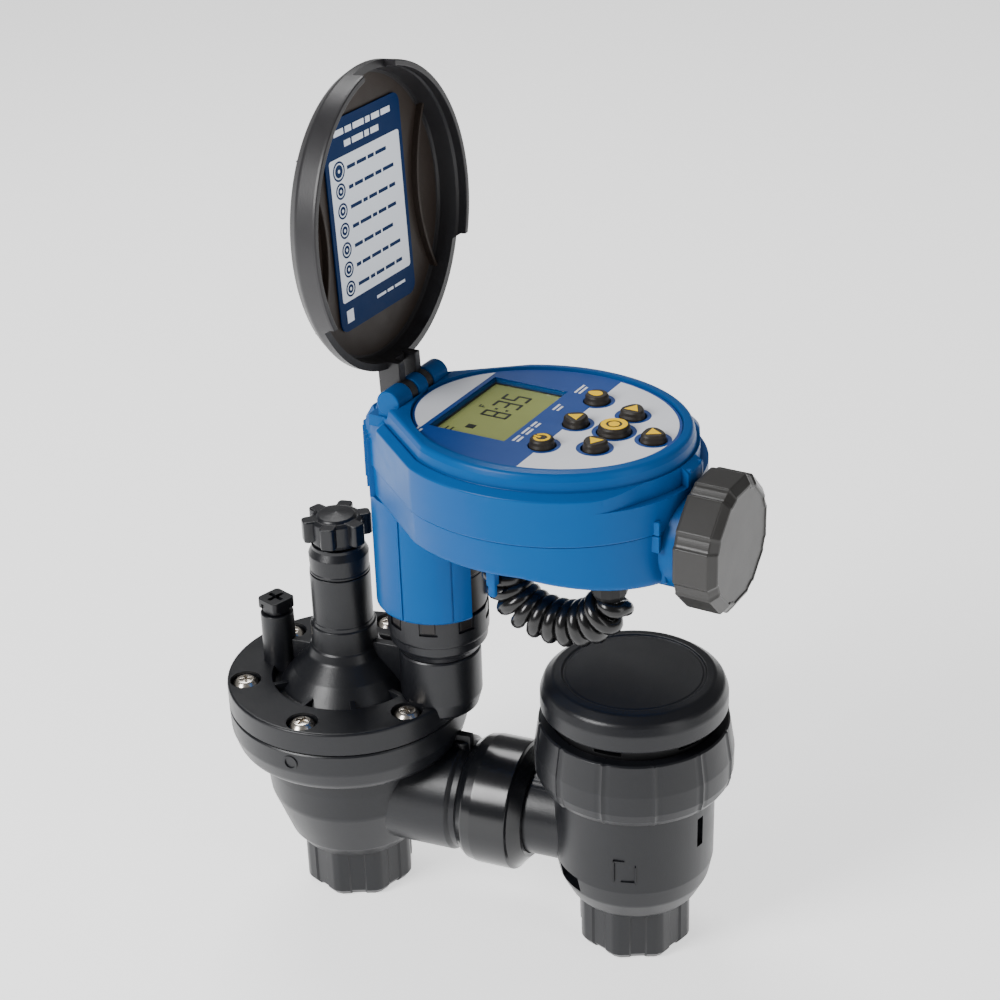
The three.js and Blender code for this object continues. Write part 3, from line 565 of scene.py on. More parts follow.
def valve_body():
    outside = turned([
        (0, 19), (20.6, 19.4), (23.6, 23.5, 3), (29.4, 40, 9), (30.3, 50, 4), (30.6, 55.6, 1), (33, 56.4, 2),
        (39.2, 60, 6), (41.2, 66.5, 5), (FLANGE, SPLIT_Z - 0.5, 0.3), (41.0, SPLIT_Z), (0, SPLIT_Z),
    ])
    outlet = lying(turned([
        (0, 14), (20.1, 14), (20.1, 42.8, 0.8), (18.9, 44, 0.5), (18.9, 46), (0, 46),
    ]), PIPE_Z)
    boss = turned([(0, 52), (3.1, 52), (3.1, 63.6, 0.8), (0, 63.6)], x=42.6, steps=32)
    web = block((24, 46), (-1.5, 1.5), (55, 66), 0.4)
    rib = block((26, 31), (-2, 2), (18, 34), 0.6)
    body = joined(outside, port_end(), outlet, boss, web, rib)
    chamber = rod(30.6, 66, 75, steps=64)
    throat = rod(9, 15, 70, steps=48)
    body = cut(body, port_bore(), chamber, throat,
               lying(rod(11.5, 18, 50, steps=48), PIPE_Z))
    shown("valve_body_shell", body, VALVE, "valve", BLACK, ["valve_body"], bevel=0.25)
    ring = spun(lying(tube(2.0, 2.6, 40.9, 41.7, steps=40), 70.2), -93)
    shown("valve_body_cavity_mark", ring, VALVE, "valve", BLACK)


def valve_bonnet():
    bottom = SPLIT_Z + 0.3
    outside = turned([
        (0, bottom), (41.0, bottom), (FLANGE, bottom + 0.5, 0.3), (FLANGE, 83, 1.1), (25.8, 83, 0.5),
        (25.2, 80.4, 0.4), (22.8, 80.4, 0.5), (18.2, 86.4, 4), (12.9, 91.8, 3), (11.9, 94.6, 0.8),
        (11.4, 95.2, 0.4), (11.2, 103.2, 0.5), (10.6, 103.5, 0.2), (10.5, 104.6, 0.2), (10.3, 105, 0.3),
        (10.3, 122.8, 0.3), (0, 122.8),
    ])
    tower = turned([
        (0, 75), (9, 75.5), (12.4, 78.2, 2), (13.9, 83.5, 3), (13.9, 99.7, 0.4), (13.5, 100.2), (0, 100.2),
    ], x=TOWER_X)
    boss = turned([(0, 80), (6.4, 80), (5.9, 84, 2), (5.7, 101.8, 0.5), (0, 101.8)], x=BLEED_X, steps=48)
    web = prism([(BLEED_X + 3, -1.4), (-12, -1.4), (-12, 1.4), (BLEED_X + 3, 1.4)], 80.2, 92, 0.3)
    bridge = prism([(10, -1.5), (26, -1.5), (26, 1.5), (10, 1.5)], 82, 97, 0.3)
    ribs = [spun(block((20.4, 26), (-0.9, 0.9), (80, 83.0), 0.2), 40 * i + 20) for i in range(9)]
    pads = [turned([(0, 80), (7.0, 80), (7.0, 83, 0.8), (0, 83)], *on_circle(BOLT_CIRCLE - 1.5, a), steps=48)
            for a in SCREW_ANGLES]
    bonnet = joined(outside, tower, boss, web, bridge, *ribs, *pads)
    counterbores = []
    for angle in SCREW_ANGLES:
        x, y = on_circle(BOLT_CIRCLE, angle)
        seat = [(0, 80.4), (5.2, 80.4), (5.2, 82.4), (5.7, 84), (0, 84)]
        counterbores.append(turned(seat, x, y, steps=48))
        counterbores.append(rod(2.4, 70, 81, x, y, steps=32))
    chamber = turned([(0, 70), (30.6, 70), (30.6, 77.6), (17, 77.6), (11.5, 84.5), (0, 84.5)], steps=64)
    bores = [rod(5.2, 84, 124, steps=48),
             rod(6, 90, 102, x=TOWER_X, steps=48),
             rod(3.3, 80.5, 103, x=BLEED_X, steps=32)]
    bonnet = cut(bonnet, *counterbores, chamber, *bores)
    shown("valve_bonnet_shell", bonnet, VALVE, "valve", BLACK, ["valve_bonnet"], bevel=0.22)


def cross_recess(top, width, depth, reach):
    """A cross-shaped driver recess of even depth."""
    arms = [block((-reach, reach), (-width / 2, width / 2), (top - depth, top + 1)),
            block((-width / 2, width / 2), (-reach, reach), (top - depth, top + 1))]
    return joined(*arms)


def bonnet_screws():
    for i, angle in enumerate(SCREW_ANGLES):
        screw = turned([
            (0, 63), (1.8, 63), (1.8, 80.8), (4.3, 80.8, 0.2), (4.3, 81.9, 0.7), (3.0, 83.3, 1.4), (0, 83.6),
        ], steps=48)
        screw = cut(screw, spun(cross_recess(83.6, 0.8, 1.5, 2.3), 35 + 47 * i))
        x, y = on_circle(BOLT_CIRCLE, angle)
        name = f"bonnet_screw_{i + 1}"
        shown(name + "_head", shifted(screw, x, y), VALVE, "valve", STEEL, [name], bevel=0.08)


def flow_control():
    gland = turned([
        (3.6, 123.1), (10.2, 123.1, 0.3), (10.2, 123.8, 0.3), (10.0, 124.2, 0.2), (10.2, 129.8, 0.8),
        (9.5, 131.2, 0.8), (9.0, 132.2, 0.5), (9.0, 133.4, 0.3), (3.6, 133.4),
    ], closed=True)
    shown("flow_gland_ring", gland, VALVE, "valve", BLACK, ["flow_stem_gland"])
    core = turned([
        (0, 133.8), (8.4, 133.8, 0.4), (8.9, 135.2, 0.5), (8.9, 142.2, 0.8), (7.6, 143.0, 0.3),
        (6.9, 142.6, 0.2), (6.2, 143.6, 0.8), (0, 144.4),
    ])
    lobes = []
    for angle in SCREW_ANGLES:
        plan = [(5, -2.6), (10.4, -2.6), (11.6, -1.9), (11.6, 1.9), (10.4, 2.6), (5, 2.6)]
        lobe = prism(plan, 135.2, 142.9, 0.55)
        lobes.append(spun(lobe, angle + 8))
    knob = cut(joined(core, *lobes), rod(3.6, 133, 139.9, steps=32))
    shown("flow_knob", knob, VALVE, "flow_stem", BLACK, ["flow_control_knob"], bevel=0.15)


def bleed():
    shank = turned([
        (0, 84), (2.3, 84), (2.3, 97.4), (1.9, 97.7), (1.9, 99.5), (2.3, 99.8), (2.3, 102.1),
        (4.7, 102.1, 0.4), (4.7, 103.6, 0.4), (4.2, 104.2), (0, 104.2),
    ], steps=48)
    half = 4.75
    near = half - 1
    plan = [(-half, -near), (-near, -half), (near, -half), (half, -near),
            (half, near), (near, half), (-near, half), (-half, near)]
    head = prism(plan, 103.4, 107.2, 0.35)
    sides = [spun(block((half - 0.5, half + 1), (-2.4, 2.4), (102, 105.4), 0.2), 90 * k) for k in range(4)]
    screw = cut(joined(shank, head), cross_recess(107.2, 1.5, 1.7, 3.2), *sides)
    shown("bleed_screw_top", spun(screw, -22.5), BLEED, "bleed_screw", BLACK,
          ["bleed_screw"], bevel=0.12)


# ---- springs ---------------------------------------------------------------------------------------
SPRING_SIDES = 8
SPRING_STEPS = 24  # per turn


def coil_spring(name, node, place, inner, turns):
    """Round wire wound between the ends of the node's ring."""
    low, high = (corner * 1000 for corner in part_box(node))
    outer = (high.x - low.x) / 2
    wire = (outer - inner) / 2
    count = turns * SPRING_STEPS
    verts, faces = [], []
    for i in range(count + 1):
        angle = 2 * math.pi * i / SPRING_STEPS
        z = low.z + wire + (high.z - low.z - 2 * wire) * i / count
        for k in range(SPRING_SIDES):
            turn = 2 * math.pi * k / SPRING_SIDES
            radius = inner + wire + wire * math.cos(turn)
            verts.append((radius * math.cos(angle), radius * math.sin(angle), z + wire * math.sin(turn)))
    for i in range(count):
        for k in range(SPRING_SIDES):
            a, b = i * SPRING_SIDES + k, i * SPRING_SIDES + (k + 1) % SPRING_SIDES
            faces.append((a, b, b + SPRING_SIDES, a + SPRING_SIDES))
    faces.append(tuple(reversed(range(SPRING_SIDES))))
    faces.append(tuple(count * SPRING_SIDES + k for k in range(SPRING_SIDES)))
    spring = shown(name, raw(verts, faces), place, "valve", STEEL, [node])
    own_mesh(spring)


def springs():
    coil_spring("diaphragm_coil_spring", "diaphragm_spring", VALVE, 7.2, 6)
    coil_spring("plunger_coil_spring", "plunger_spring", TOWER, 2.2, 8)


# ---- solenoid --------------------------------------------------------------------------------------
def solenoid():
    adapter = turned([
        (9, 100.5), (13.5, 100.5, 0.3), (14.6, 102.6, 1), (16.4, 104.6, 1.4), (16.6, 107.6, 0.3),
        (16.9, 108, 0.2), (17.0, 108.6, 0.3), (17.0, 117.4, 0.4), (13.6, 117.8), (13.6, 106), (9, 106),
    ], closed=True)
    slots = [spun(block((16.1, 19), (-3.1, 3.1), (112.6, 119)), 45 * k + 12) for k in range(8)]
    adapter = cut(adapter, *slots)
    shown("adapter_ring", adapter, TOWER, "valve", BLACK, ["solenoid_adapter"], bevel=0.25)
    fillers = [spun(block((15.2, 16.55), (-2.2, 2.2), (113.4, 117.3), 0.2), 45 * k + 12) for k in range(8)]
    shown("adapter_lugs", merged(fillers), TOWER, "valve", BROWN_BLACK)
    can = turned([
        (0, 106.3), (13.2, 106.3), (13.2, 109), (12.2, 109.3), (12.2, 111.4), (13.2, 111.7), (13.2, 118.1),
        (16.5, 118.1, 0.4), (16.5, 131, 0.2), (16.2, 131.3), (16.2, 132), (16.5, 132.3, 0.2),
        (16.5, 157, 1.8), (0, 157),
    ])
    can = cut(can, rod(4.4, 100, 135, steps=32))
    shown("solenoid_can", can, TOWER, "valve", BROWN_BLACK, ["solenoid_body"])


# ---- outlet and vacuum breaker ---------------------------------------------------------------------
def outlet():
    sleeve = lying(turned([
        (16.1, 46.4), (19.6, 46.4, 0.5), (20.4, 47.4, 1), (21.9, 49.5, 2), (22.5, 53, 3), (22.5, 65.5, 0.5),
        (21.4, 66.1, 0.4), (17.4, 69.7, 0.5), (16.1, 69.7),
    ], closed=True), PIPE_Z)
    shown("outlet_sleeve", sleeve, VALVE, "valve", GLOSS_BLACK, ["outlet_coupling"])


def breaker_body():
    outside = turned([
        (0, 19), (20.4, 19.4), (22.4, 21.6, 2), (25.4, 27.5, 5), (26.7, 34, 3), (26.9, 62, 0.4),
        (27.2, 63.4, 0.3), (26.9, 78), (0, 78),
    ])
    tail = lying(rod(15.8, 48.4, PORT_SPACING - 20), PIPE_Z)
    tail = shifted(tail, -PORT_SPACING)
    body = joined(outside, port_end(), tail)
    chamber = rod(22, 46, 80, steps=64)
    throat = rod(9.5, 15, 50, steps=48)
    bore = shifted(lying(rod(11.5, 47, 84, steps=48), PIPE_Z), -PORT_SPACING)
    notch = spun(block((22.6, 30), (-5.5, 5.5), (28.4, 34.2)), -128)
    slot = spun(block((24.6, 30), (-1.5, 1.5), (46, 57)), -18)
    body = cut(body, port_bore(), chamber, throat, bore, notch, slot)
    shown("breaker_shell", body, BREAKER, "valve", BLACK, ["breaker_body"], bevel=0.22)
    spans = [((-4, -0.2), (46.6, 47)), ((-4.0, -3.6), (38.5, 47)), ((3.2, 3.6), (38.5, 45)),
             ((-1.4, 3.6), (38.5, 38.9))]
    frame_bars = [block((26.6, 27.25), y, z) for y, z in spans]
    shown("breaker_cavity_mark", spun(merged(frame_bars), -78), BREAKER, "valve", BLACK)


def panelled(inset, steps=288, panels=12):
    """Round collar outline with a fine ridge between panels."""
    points = []
    for k in range(steps):
        angle = 2 * math.pi * k / steps
        local = (angle * panels / (2 * math.pi)) % 1
        edge = min(local, 1 - local)
        ridge = 0.35 * max(0.0, 1 - edge / 0.035) - 0.25 * max(0.0, 1 - abs(edge - 0.07) / 0.035)
        radius = 33 - inset + ridge
        points.append((radius * math.cos(angle), radius * math.sin(angle)))
    return points


def breaker_collar():
    collar = stacked(panelled, [
        (5.4, 64), (2.2, 64, 0.3), (0.9, 66, 0.8), (0.1, 69, 1), (0, 76, 4), (1.6, 86.4, 0.4),
        (2.2, 86.8), (5.4, 86.8),
    ], closed=True)
    shown("collar_ring", collar, BREAKER, "valve", BLACK, ["breaker_collar"])


def breaker_top():
    neck = turned([
        (9, 78.3), (26.9, 78.3), (26.9, 95), (0, 95), (0, 92.4), (9, 92.4),
    ], closed=True)
    slots = [spun(block((8, 30), (-4.5, 4.5), (87.6, 90.6)), 60 * k + 30) for k in range(6)]
    shown("breaker_neck_ring", cut(neck, *slots), BREAKER, "valve", DEEP_BLACK,
          ["breaker_neck"], bevel=0.15)
    canopy = turned([
        (0, 95.3), (5, 95.3), (5, 99), (28.6, 99), (28.6, 91.4), (30.4, 91.4, 0.3), (30.8, 92.2, 0.5),
        (30.8, 97.2, 3.5), (29.6, 100.6, 3), (26.4, 103.0, 2.5), (23.6, 103.2, 0.6), (23.2, 102.7, 0.3),
        (22.6, 102.7, 0.3), (22.2, 102.9, 0.2), (0, 102.6),
    ])
    shown("canopy_cap", canopy, BREAKER, "valve", BLACK, ["breaker_canopy"])


# ---- controller head -------------------------------------------------------------------------------
FACE_CENTRE = 42.55
HEAD_LENGTH = 51.0
HEAD_WIDTH = 44.5
HEAD_CORNER = (15.6, 40.6)
LEG_RADIUS = 20.2
LEG_TANGENT = math.atan2(*reversed(HEAD_CORNER)) + math.acos(LEG_RADIUS / math.hypot(*HEAD_CORNER))
PARTING_Z = 171.0
FLOOR_Z = 159.5
SLOPE_START_V = 56
SLOPE_END_V = 93
SLOPE_DROP = 7.5
RIM_Z = 193.0
FACE_Z = 191.6
LABEL_Z = 192.2
LABEL = (43.0, 35.7)
CAP_Z = 163.5
LCD_V = (12.9, 39.4)
LCD_HALF = 20.4
DISPLAY_Z = 190.1
BEZEL_Z = 190.4
BUTTONS = {
    "button_set": (66.05, 0, 5.0),
    "button_up": (53.0, 0, 3.8),
    "button_down": (79.1, 0, 3.8),
    "button_right": (66.05, 12.75, 3.8),
    "button_left": (66.05, -12.75, 3.8),
    "button_power": (50.97, -17.9, 3.8),
    "button_manual": (50.97, 17.9, 3.8),
}
BUTTON_TOP = 194.8
ICON_Z = (BUTTON_TOP - 0.05, BUTTON_TOP + 0.1)
POINTING = {"button_up": 180, "button_down": 0, "button_right": 90, "button_left": -90}


def window_block(inset, z, rounding=0.0):
    return block((LCD_V[0] + inset, LCD_V[1] - inset), (-LCD_HALF + inset, LCD_HALF - inset), z, rounding)


def button_wells(margin, low, high, steps=48):
    return [rod(radius + margin, low, high, v, u, steps=steps) for v, u, radius in BUTTONS.values()]


def head_outline(inset):
    """Oval at the battery end, straight flanks, round end over the leg."""
    points = []
    start = math.acos((HEAD_CORNER[0] - FACE_CENTRE) / HEAD_LENGTH)
    for i in range(121):
        angle = -start + 2 * start * i / 120
        points.append((FACE_CENTRE + (HEAD_LENGTH - inset) * math.cos(angle),
                       (HEAD_WIDTH - inset) * math.sin(angle)))
    for i in range(33):
        angle = LEG_TANGENT + (2 * math.pi - 2 * LEG_TANGENT) * i / 32
        radius = LEG_RADIUS - inset
        points.append((radius * math.cos(angle), radius * math.sin(angle)))
    return points


def oval(centre_v, length, width, steps=120):
    return [(centre_v + length * math.cos(2 * math.pi * k / steps),
             width * math.sin(2 * math.pi * k / steps))
            for k in range(steps)]


def sloped(obj):
    """Lets the floor fall towards the battery cap, and the wall below the parting line with it."""
    for vertex in obj.data.vertices:
        v, _, z = vertex.co
        if v > SLOPE_START_V and z < PARTING_Z - 2:
            share = min(1, (PARTING_Z - 2 - z) / (PARTING_Z - 2 - FLOOR_Z))
            vertex.co.z -= SLOPE_DROP * min(1, (v - SLOPE_START_V) / (SLOPE_END_V - SLOPE_START_V)) * share
    return obj


def neck_brackets(start, low, high):
    """A small upright bracket each side of the battery neck, rooted in the wall at v = start."""
    return [block((start, 90.4), (u - 0.8, u + 0.8), (low, high), 0.3) for u in (-18.3, 18.3)]


def lower_housing():
    top = PARTING_Z - 0.15
    cup = sloped(stacked(head_outline, [
        (4.2, FLOOR_Z), (0.7, FLOOR_Z, 3), (0.7, 163.0, 1), (0.5, PARTING_Z - 2), (0.5, top), (3.2, top),
        (3.2, PARTING_Z - 2), (3.4, FLOOR_Z + 2.2), (6, FLOOR_Z + 2.2),
    ]))
    leg = turned([
        (17.2, 118.8), (19.7, 118.8, 0.4), (20.2, 119.6, 0.4), (20.2, 160), (17.2, 160),
    ], closed=True)
    neck = lying(rod(17, 78, 99, steps=96), CAP_Z)
    trough = block((41, 91), (-15.5, 15.5), (152.9, 165), 1)
    hook = prism([(38.8, -33.2), (42.0, -33.2), (42.0, -30.2), (38.8, -30.2)], 148.6, FLOOR_Z + 1, 0.6)
    tip = prism([(39.4, -33.2), (42.0, -33.2), (42.0, -31.4), (39.4, -31.4)], 145, 149.6, 0.7)
    brackets = neck_brackets(85.5, 165.4, top)
    body = joined(cup, leg, neck, trough, hook, tip, *brackets)
    seams = [spun(block((LEG_RADIUS - 0.45, LEG_RADIUS + 2), (-0.35, 0.35), (117, FLOOR_Z - 0.5)), a)
             for a in (-92, -44, 44, 92)]
    body = cut(body, block((0, 30), (-8.4, 8.4), (115, FLOOR_Z - 0.1)),
               block((42.6, 102), (-13.8, 13.8), (154.5, 172.6)), *seams)
    shown("lower_shell", body, HEAD, "head", BLUE, ["lower_housing"], bevel=0.25)


def sawtooth_ribs():
    """Short upright grip ribs where the flank meets the leg end, longer towards the flank."""
    tangent = math.degrees(LEG_TANGENT)
    ribs = []
    for side in (-1, 1):
        for k in range(5):
            angle = side * (tangent - 1 + 7 * k)
            wedge = prism([(LEG_RADIUS - 1, -1.3), (LEG_RADIUS + 0.05, -1.3), (LEG_RADIUS + 1.1, 1.0),
                           (LEG_RADIUS - 1, 1.3)], 160 + 2.6 * k, 180.5 + 0.5 * k, 0.15)
            ribs.append(spun(wedge, angle))
    return ribs


def hinge_slopes():
    """The wedge of air that leans the leg end inward above its widest line."""
    tangent = math.degrees(LEG_TANGENT)
    section = [(LEG_RADIUS + 0.05, 180.5), (LEG_RADIUS + 20, 180.5), (LEG_RADIUS + 20, 215),
               (LEG_RADIUS - 15, 215), (LEG_RADIUS - 7, RIM_Z + 1)]
    lean = prism(section, -38, 8)
    upright_lean = moved(lean, Matrix.Rotation(math.radians(90), 4, "X"))
    far = spun(copied(upright_lean), tangent)
    near = moved(copied(far), Matrix.Scale(-1, 4, (0, 1, 0)))
    near.data.flip_normals()
    middle = spun(shifted(upright_lean, 0, -15, 0), 180)
    return [far, near, middle]


def knuckles():
    barrels = []
    for low, high in ((-15, -6.6), (-2.6, 2.9), (6.6, 15)):
        barrel = turned([(0, low), (4.2, low, 0.6), (4.2, high, 0.6), (0, high)], steps=64)
        barrel = moved(barrel, HINGE_LINE)
        barrels.append(barrel)
        barrels.append(block((HINGE_V - 3.7, HINGE_V + 3.7), (low + 0.2, high - 0.2), (185, HINGE_Z)))
    return barrels


def finger_recess(side):
    """Shallow lens below the rim beside the battery end, deepest next to the middle ribs."""
    outer, inner = [], []
    first, last = -34.0, -5.2
    for i in range(33):
        u = first + (last - first) * i / 32
        reach = math.sqrt(1 - (u / HEAD_WIDTH) ** 2)
        share = min(1.0, (u - first) / 15)
        depth = 2.6 * share * share * (3 - 2 * share)
        inner.append((FACE_CENTRE + HEAD_LENGTH * reach - depth * reach,
                      side * (u - depth * u / HEAD_WIDTH)))
        outer.append((FACE_CENTRE + HEAD_LENGTH * reach + 4, side * (u + 4 * u / HEAD_WIDTH)))
    return prism(inner + outer[::-1], 181.8, 189.5)


def cap_end_ribs():
    """Two short upright ribs over the cap, and the brackets by the neck."""
    front = FACE_CENTRE + HEAD_LENGTH
    ribs = [block((front - 3, front - 0.1), (u - 0.7, u + 0.7), (176, 187), 0.3) for u in (-3.6, 3.6)]
    return ribs + neck_brackets(86.5, PARTING_Z + 0.15, 175.6)


def upper_housing():
    bottom = PARTING_Z + 0.15
    shell = stacked(head_outline, [
        (4, bottom), (0.2, bottom, 0.2), (0, bottom + 0.5, 0.3), (0, 186.0, 1.0), (2.7, 188.0, 0.7),
        (3.5, 187.2, 0.3), (4.1, 190.6, 0.5), (4.9, 192.6, 1.6), (7.4, RIM_Z, 1.0), (8, RIM_Z),
    ])
    recess = prism(oval(FACE_CENTRE, LABEL[0] + 0.5, LABEL[1] + 0.5), FACE_Z, 200)
    hollow = stacked(head_outline, [(4.2, 160), (4.2, 184), (7.2, 188.9)])
    notch = block((-40, -0.9), (-16.4, 16.4), (188.8, 210))
    seat = block((-12.5, 1), (-15.5, 15.5), (185, 188.8))
    neck_space = lying(rod(17.3, 70, 110, steps=96), CAP_Z)
    window = window_block(0, (180, 200))
    wells = button_wells(0.6, 180, 200)
    pin = moved(rod(1.7, -14.65, 20, steps=32), HINGE_LINE)
    body = cut(shell, recess, hollow, *hinge_slopes())
    body = joined(body, seat)
    body = cut(body, notch)
    body = joined(body, *sawtooth_ribs(), *knuckles())
    body = cut(body, finger_recess(-1), finger_recess(1))
    body = joined(body, *cap_end_ribs())
    body = cut(body, neck_space, window, pin, *wells)
    shown("upper_shell", body, HEAD, "head", BLUE, ["upper_housing"], bevel=0.2)


# ---- face: print, display and buttons --------------------------------------------------------------
PRINT_Z = LABEL_Z + 0.03
PRINT_THICK = 0.05
CAPTION_LINE = 1.5


def face_label():
    film = prism(oval(FACE_CENTRE, *LABEL), FACE_Z + 0.25, LABEL_Z)
    window = window_block(0, (190, 194))
    wells = button_wells(0.6, 190, 194)
    film = cut(film, window, *wells)
    shown("face_film", film, HEAD, "head", PRINT_BLUE, ["face_label"], bevel=0.06)


def face_print():
    """White areas over the blue film: a crescent by the hinge and a field round the buttons."""
    inner = oval(FACE_CENTRE, LABEL[0] - 0.9, LABEL[1] - 0.9)
    crescent = kept(prism(inner, PRINT_Z, PRINT_Z + PRINT_THICK), block((-20, 11.4), (-60, 60), (180, 200)))
    shown("face_crescent", crescent, HEAD, "head", PRINT_WHITE)
    field = kept(prism(inner, PRINT_Z, PRINT_Z + PRINT_THICK), block((51.2, 120), (-60, 60), (180, 200)))
    rings = button_wells(1.9, 190, 200, steps=64)
    wedge = prism([(80, -1.0), (90, -2.2), (90, 2.2), (80, 1.0)], 190, 200)
    shown("face_field", cut(field, *rings, wedge), HEAD, "head", PRINT_WHITE)


def mark(v0, v1, u0, u1):
    return block((v0, v1), (u0, u1), (PRINT_Z, PRINT_Z + PRINT_THICK))


def face_marks():
    """Plain bars where small captions would be."""
    bars = []
    captions = [(41.2, -19.0, -14.8, 0.5), (41.2, -13.4, -8.6, 0.5), (41.2, -7.6, -4.0, 0.5),
                (41.4, 6.0, 10.5, 1), (41.4, 20.5, 27.0, 1), (10.6, -26.6, -22.8, 1)]
    for v, start, end, shorter in captions:
        for row in range(2):
            top = v + CAPTION_LINE * row
            bars.append(mark(top, top + 0.8, start, end - shorter * row))
    shown("face_marks", merged(bars), HEAD, "head", PRINT_WHITE)


SEGMENTS = {"0": "abcdef", "3": "abcdg", "5": "acdfg", "8": "abcdefg"}


def digit(character, v0, u0, height=9.2, width=4.2, stroke=0.8):
    """A seven-segment figure: its top is towards the hinge and it reads along +u."""
    middle, foot, right = v0 + height / 2, v0 + height, u0 + width
    gap = 0.2
    bars = {
        "a": (v0, v0 + stroke, u0 + gap, right - gap),
        "b": (v0 + gap, middle - gap, right - stroke, right),
        "c": (middle + gap, foot - gap, right - stroke, right),
        "d": (foot - stroke, foot, u0 + gap, right - gap),
        "e": (middle + gap, foot - gap, u0, u0 + stroke),
        "f": (v0 + gap, middle - gap, u0, u0 + stroke),
        "g": (middle - stroke / 2, middle + stroke / 2, u0 + gap, right - gap),
    }
    return [block(bars[s][:2], bars[s][2:], INK) for s in SEGMENTS[character]]


INK = (DISPLAY_Z, DISPLAY_Z + 0.1)


def display():
    module = block((11, 41.3), (-22.5, 22.5), (183.4, 188.5))
    glass = window_block(0.3, (188, DISPLAY_Z))
    shown("display_glass", joined(module, glass), HEAD, "head", LCD_GREEN, ["lcd_module"], bevel=0.1)
    ink = digit("8", 20.6, -2.9) + digit("3", 20.6, 4.6) + digit("5", 20.6, 10.4)
    ink += [block((v, v + 0.9), (2.5, 3.4), INK) for v in (22.8, 26.6)]
    ink += [block((21.2, 24.0), (-13.0, -10.4), INK)]
    ink += [block((16.2, 18.4), (-17.6, -17.2), INK), block((16.2, 16.6), (-17.6, -14.6), INK),
            block((18.0, 18.4), (-17.6, -14.6), INK)]
    ink += [block((17.2, 19.4), (2.2, 2.6), INK), block((17.2, 17.6), (2.2, 3.8), INK),
            block((18.2, 18.6), (2.2, 3.4), INK)]
    shown("display_ink", merged(ink), HEAD, "head", LCD_INK)
    border = cut(window_block(0.1, (DISPLAY_Z - 0.6, BEZEL_Z)), window_block(0.7, (188, 191)))
    shown("display_bezel", border, HEAD, "head", BEZEL, bevel=0.06)
    window = window_block(0.3, (190.6, 191.5), 0.2)
    shown("display_window", window, HEAD, "head", CLEAR, ["lcd_window"])


def icon_triangle(v, u, direction, size=2.7):
    """A small solid triangle pointing along the direction (degrees from the long axis)."""
    corners = [(v + size * math.cos(math.radians(direction + a)),
                u + size * math.sin(math.radians(direction + a)))
               for a in (0, 120, 240)]
    return prism(corners, *ICON_Z, 0.04)


def icon_ring(v, u, inner, outer):
    return tube(inner, outer, *ICON_Z, v, u, steps=48)


def icons(name, v, u):
    if name == "button_set":
        disc = rod(1.7, *ICON_Z, v, u, steps=48)
        return [icon_ring(v, u, 2.5, 4.1), disc]
    if name == "button_power":
        gap = prism([(v, u), (v - 4, u - 1.9), (v - 4, u + 1.9)], 190, 200)
        bar = block((v - 2.6, v - 0.4), (u - 0.4, u + 0.4), ICON_Z)
        return [cut(icon_ring(v, u, 1.7, 2.6), gap), bar]
    if name == "button_manual":
        drop = []
        for k in range(32):
            angle = 2 * math.pi * k / 32
            radius = 1.8 + 1.1 * max(0.0, math.cos(angle)) ** 6
            drop.append((v - radius * math.cos(angle), u + radius * math.sin(angle)))
        return [prism(drop, *ICON_Z)]
    return [icon_triangle(v, u, POINTING[name])]


def buttons():
    for name, (v, u, r) in BUTTONS.items():
        direction = POINTING.get(name)

        def plan(inset, v=v, u=u, r=r, direction=direction):
            points = []
            for k in range(72):
                angle = 2 * math.pi * k / 72
                lobe = 0 if direction is None else 0.07 * math.cos(3 * (angle - math.radians(direction)))
                radius = (r + 0.2) * (1 + lobe) - inset
                points.append((v + radius * math.cos(angle), u + radius * math.sin(angle)))
            return points

        key = stacked(plan, [
            (0, 185.9), (0, 192.5, 0.5), (0.3, 193.3, 0.4), (0.35, 194.2, 0.4), (0.8, BUTTON_TOP, 0.3),
            (1.5, BUTTON_TOP),
        ])
        skirt = turned([(0, 184.2), (r + 1.2, 184.2), (r + 1.2, 185.8, 0.2), (0, 186.2)], v, u, steps=48)
        shown(name + "_key", merged([key, skirt]), HEAD, name, KEY_RUBBER, [name])
        shown(name + "_mark", merged(icons(name, v, u)), HEAD, name, YELLOW)


# ---- battery cap -----------------------------------------------------------------------------------
def cap_outline(inset, steps=256, flats=8):
    """Eight broad flats, each standing proud of the narrow stepped ridge between them."""
    points = []
    for k in range(steps):
        angle = 2 * math.pi * k / steps
        local = (angle + math.pi / flats) % (2 * math.pi / flats) - math.pi / flats
        radius = min(20.9 / math.cos(local), 21.75)
        step = 0.7 * max(0.0, min(1.0, (abs(math.degrees(local)) - 16.2) / 1.0))
        radius -= step + inset
        points.append((radius * math.cos(angle), radius * math.sin(angle)))
    return points


def battery_cap():
    drum = stacked(cap_outline, [
        (1.2, 95.2), (0.2, 95.5, 0.3), (0, 96.4, 0.4), (0, 106.8, 0.8), (2.6, 108.7, 0.5), (3.4, 108.9, 0.3),
        (3.8, 108.5, 0.2), (5, 108.5),
    ])
    drum = lying(drum, CAP_Z)
    bore = lying(rod(17.4, 90, 104.5, steps=96), CAP_Z)
    shown("cap_drum", cut(drum, bore), HEAD, "battery_cap", CAP_GREY, ["battery_cap"], bevel=0.2)


# ---- lid, drawn closed about its hinge line --------------------------------------------------------
LID_CENTRE = 55.6
LID_SIZE = (48.2, 43.6)
LID_RIM = 0.3
LID_TOP = 12.3
SKIRT_STEP = 4.2  # the skirt is this much shallower by the hinge and at the latch
SKIRT_CUTS = ((33.5, -10, -60, 0), (39, -10, -1, 60), (96, 120, -10, 7))


def lid_outline(inset):
    return oval(LID_CENTRE, LID_SIZE[0] - inset, LID_SIZE[1] - inset, steps=160)


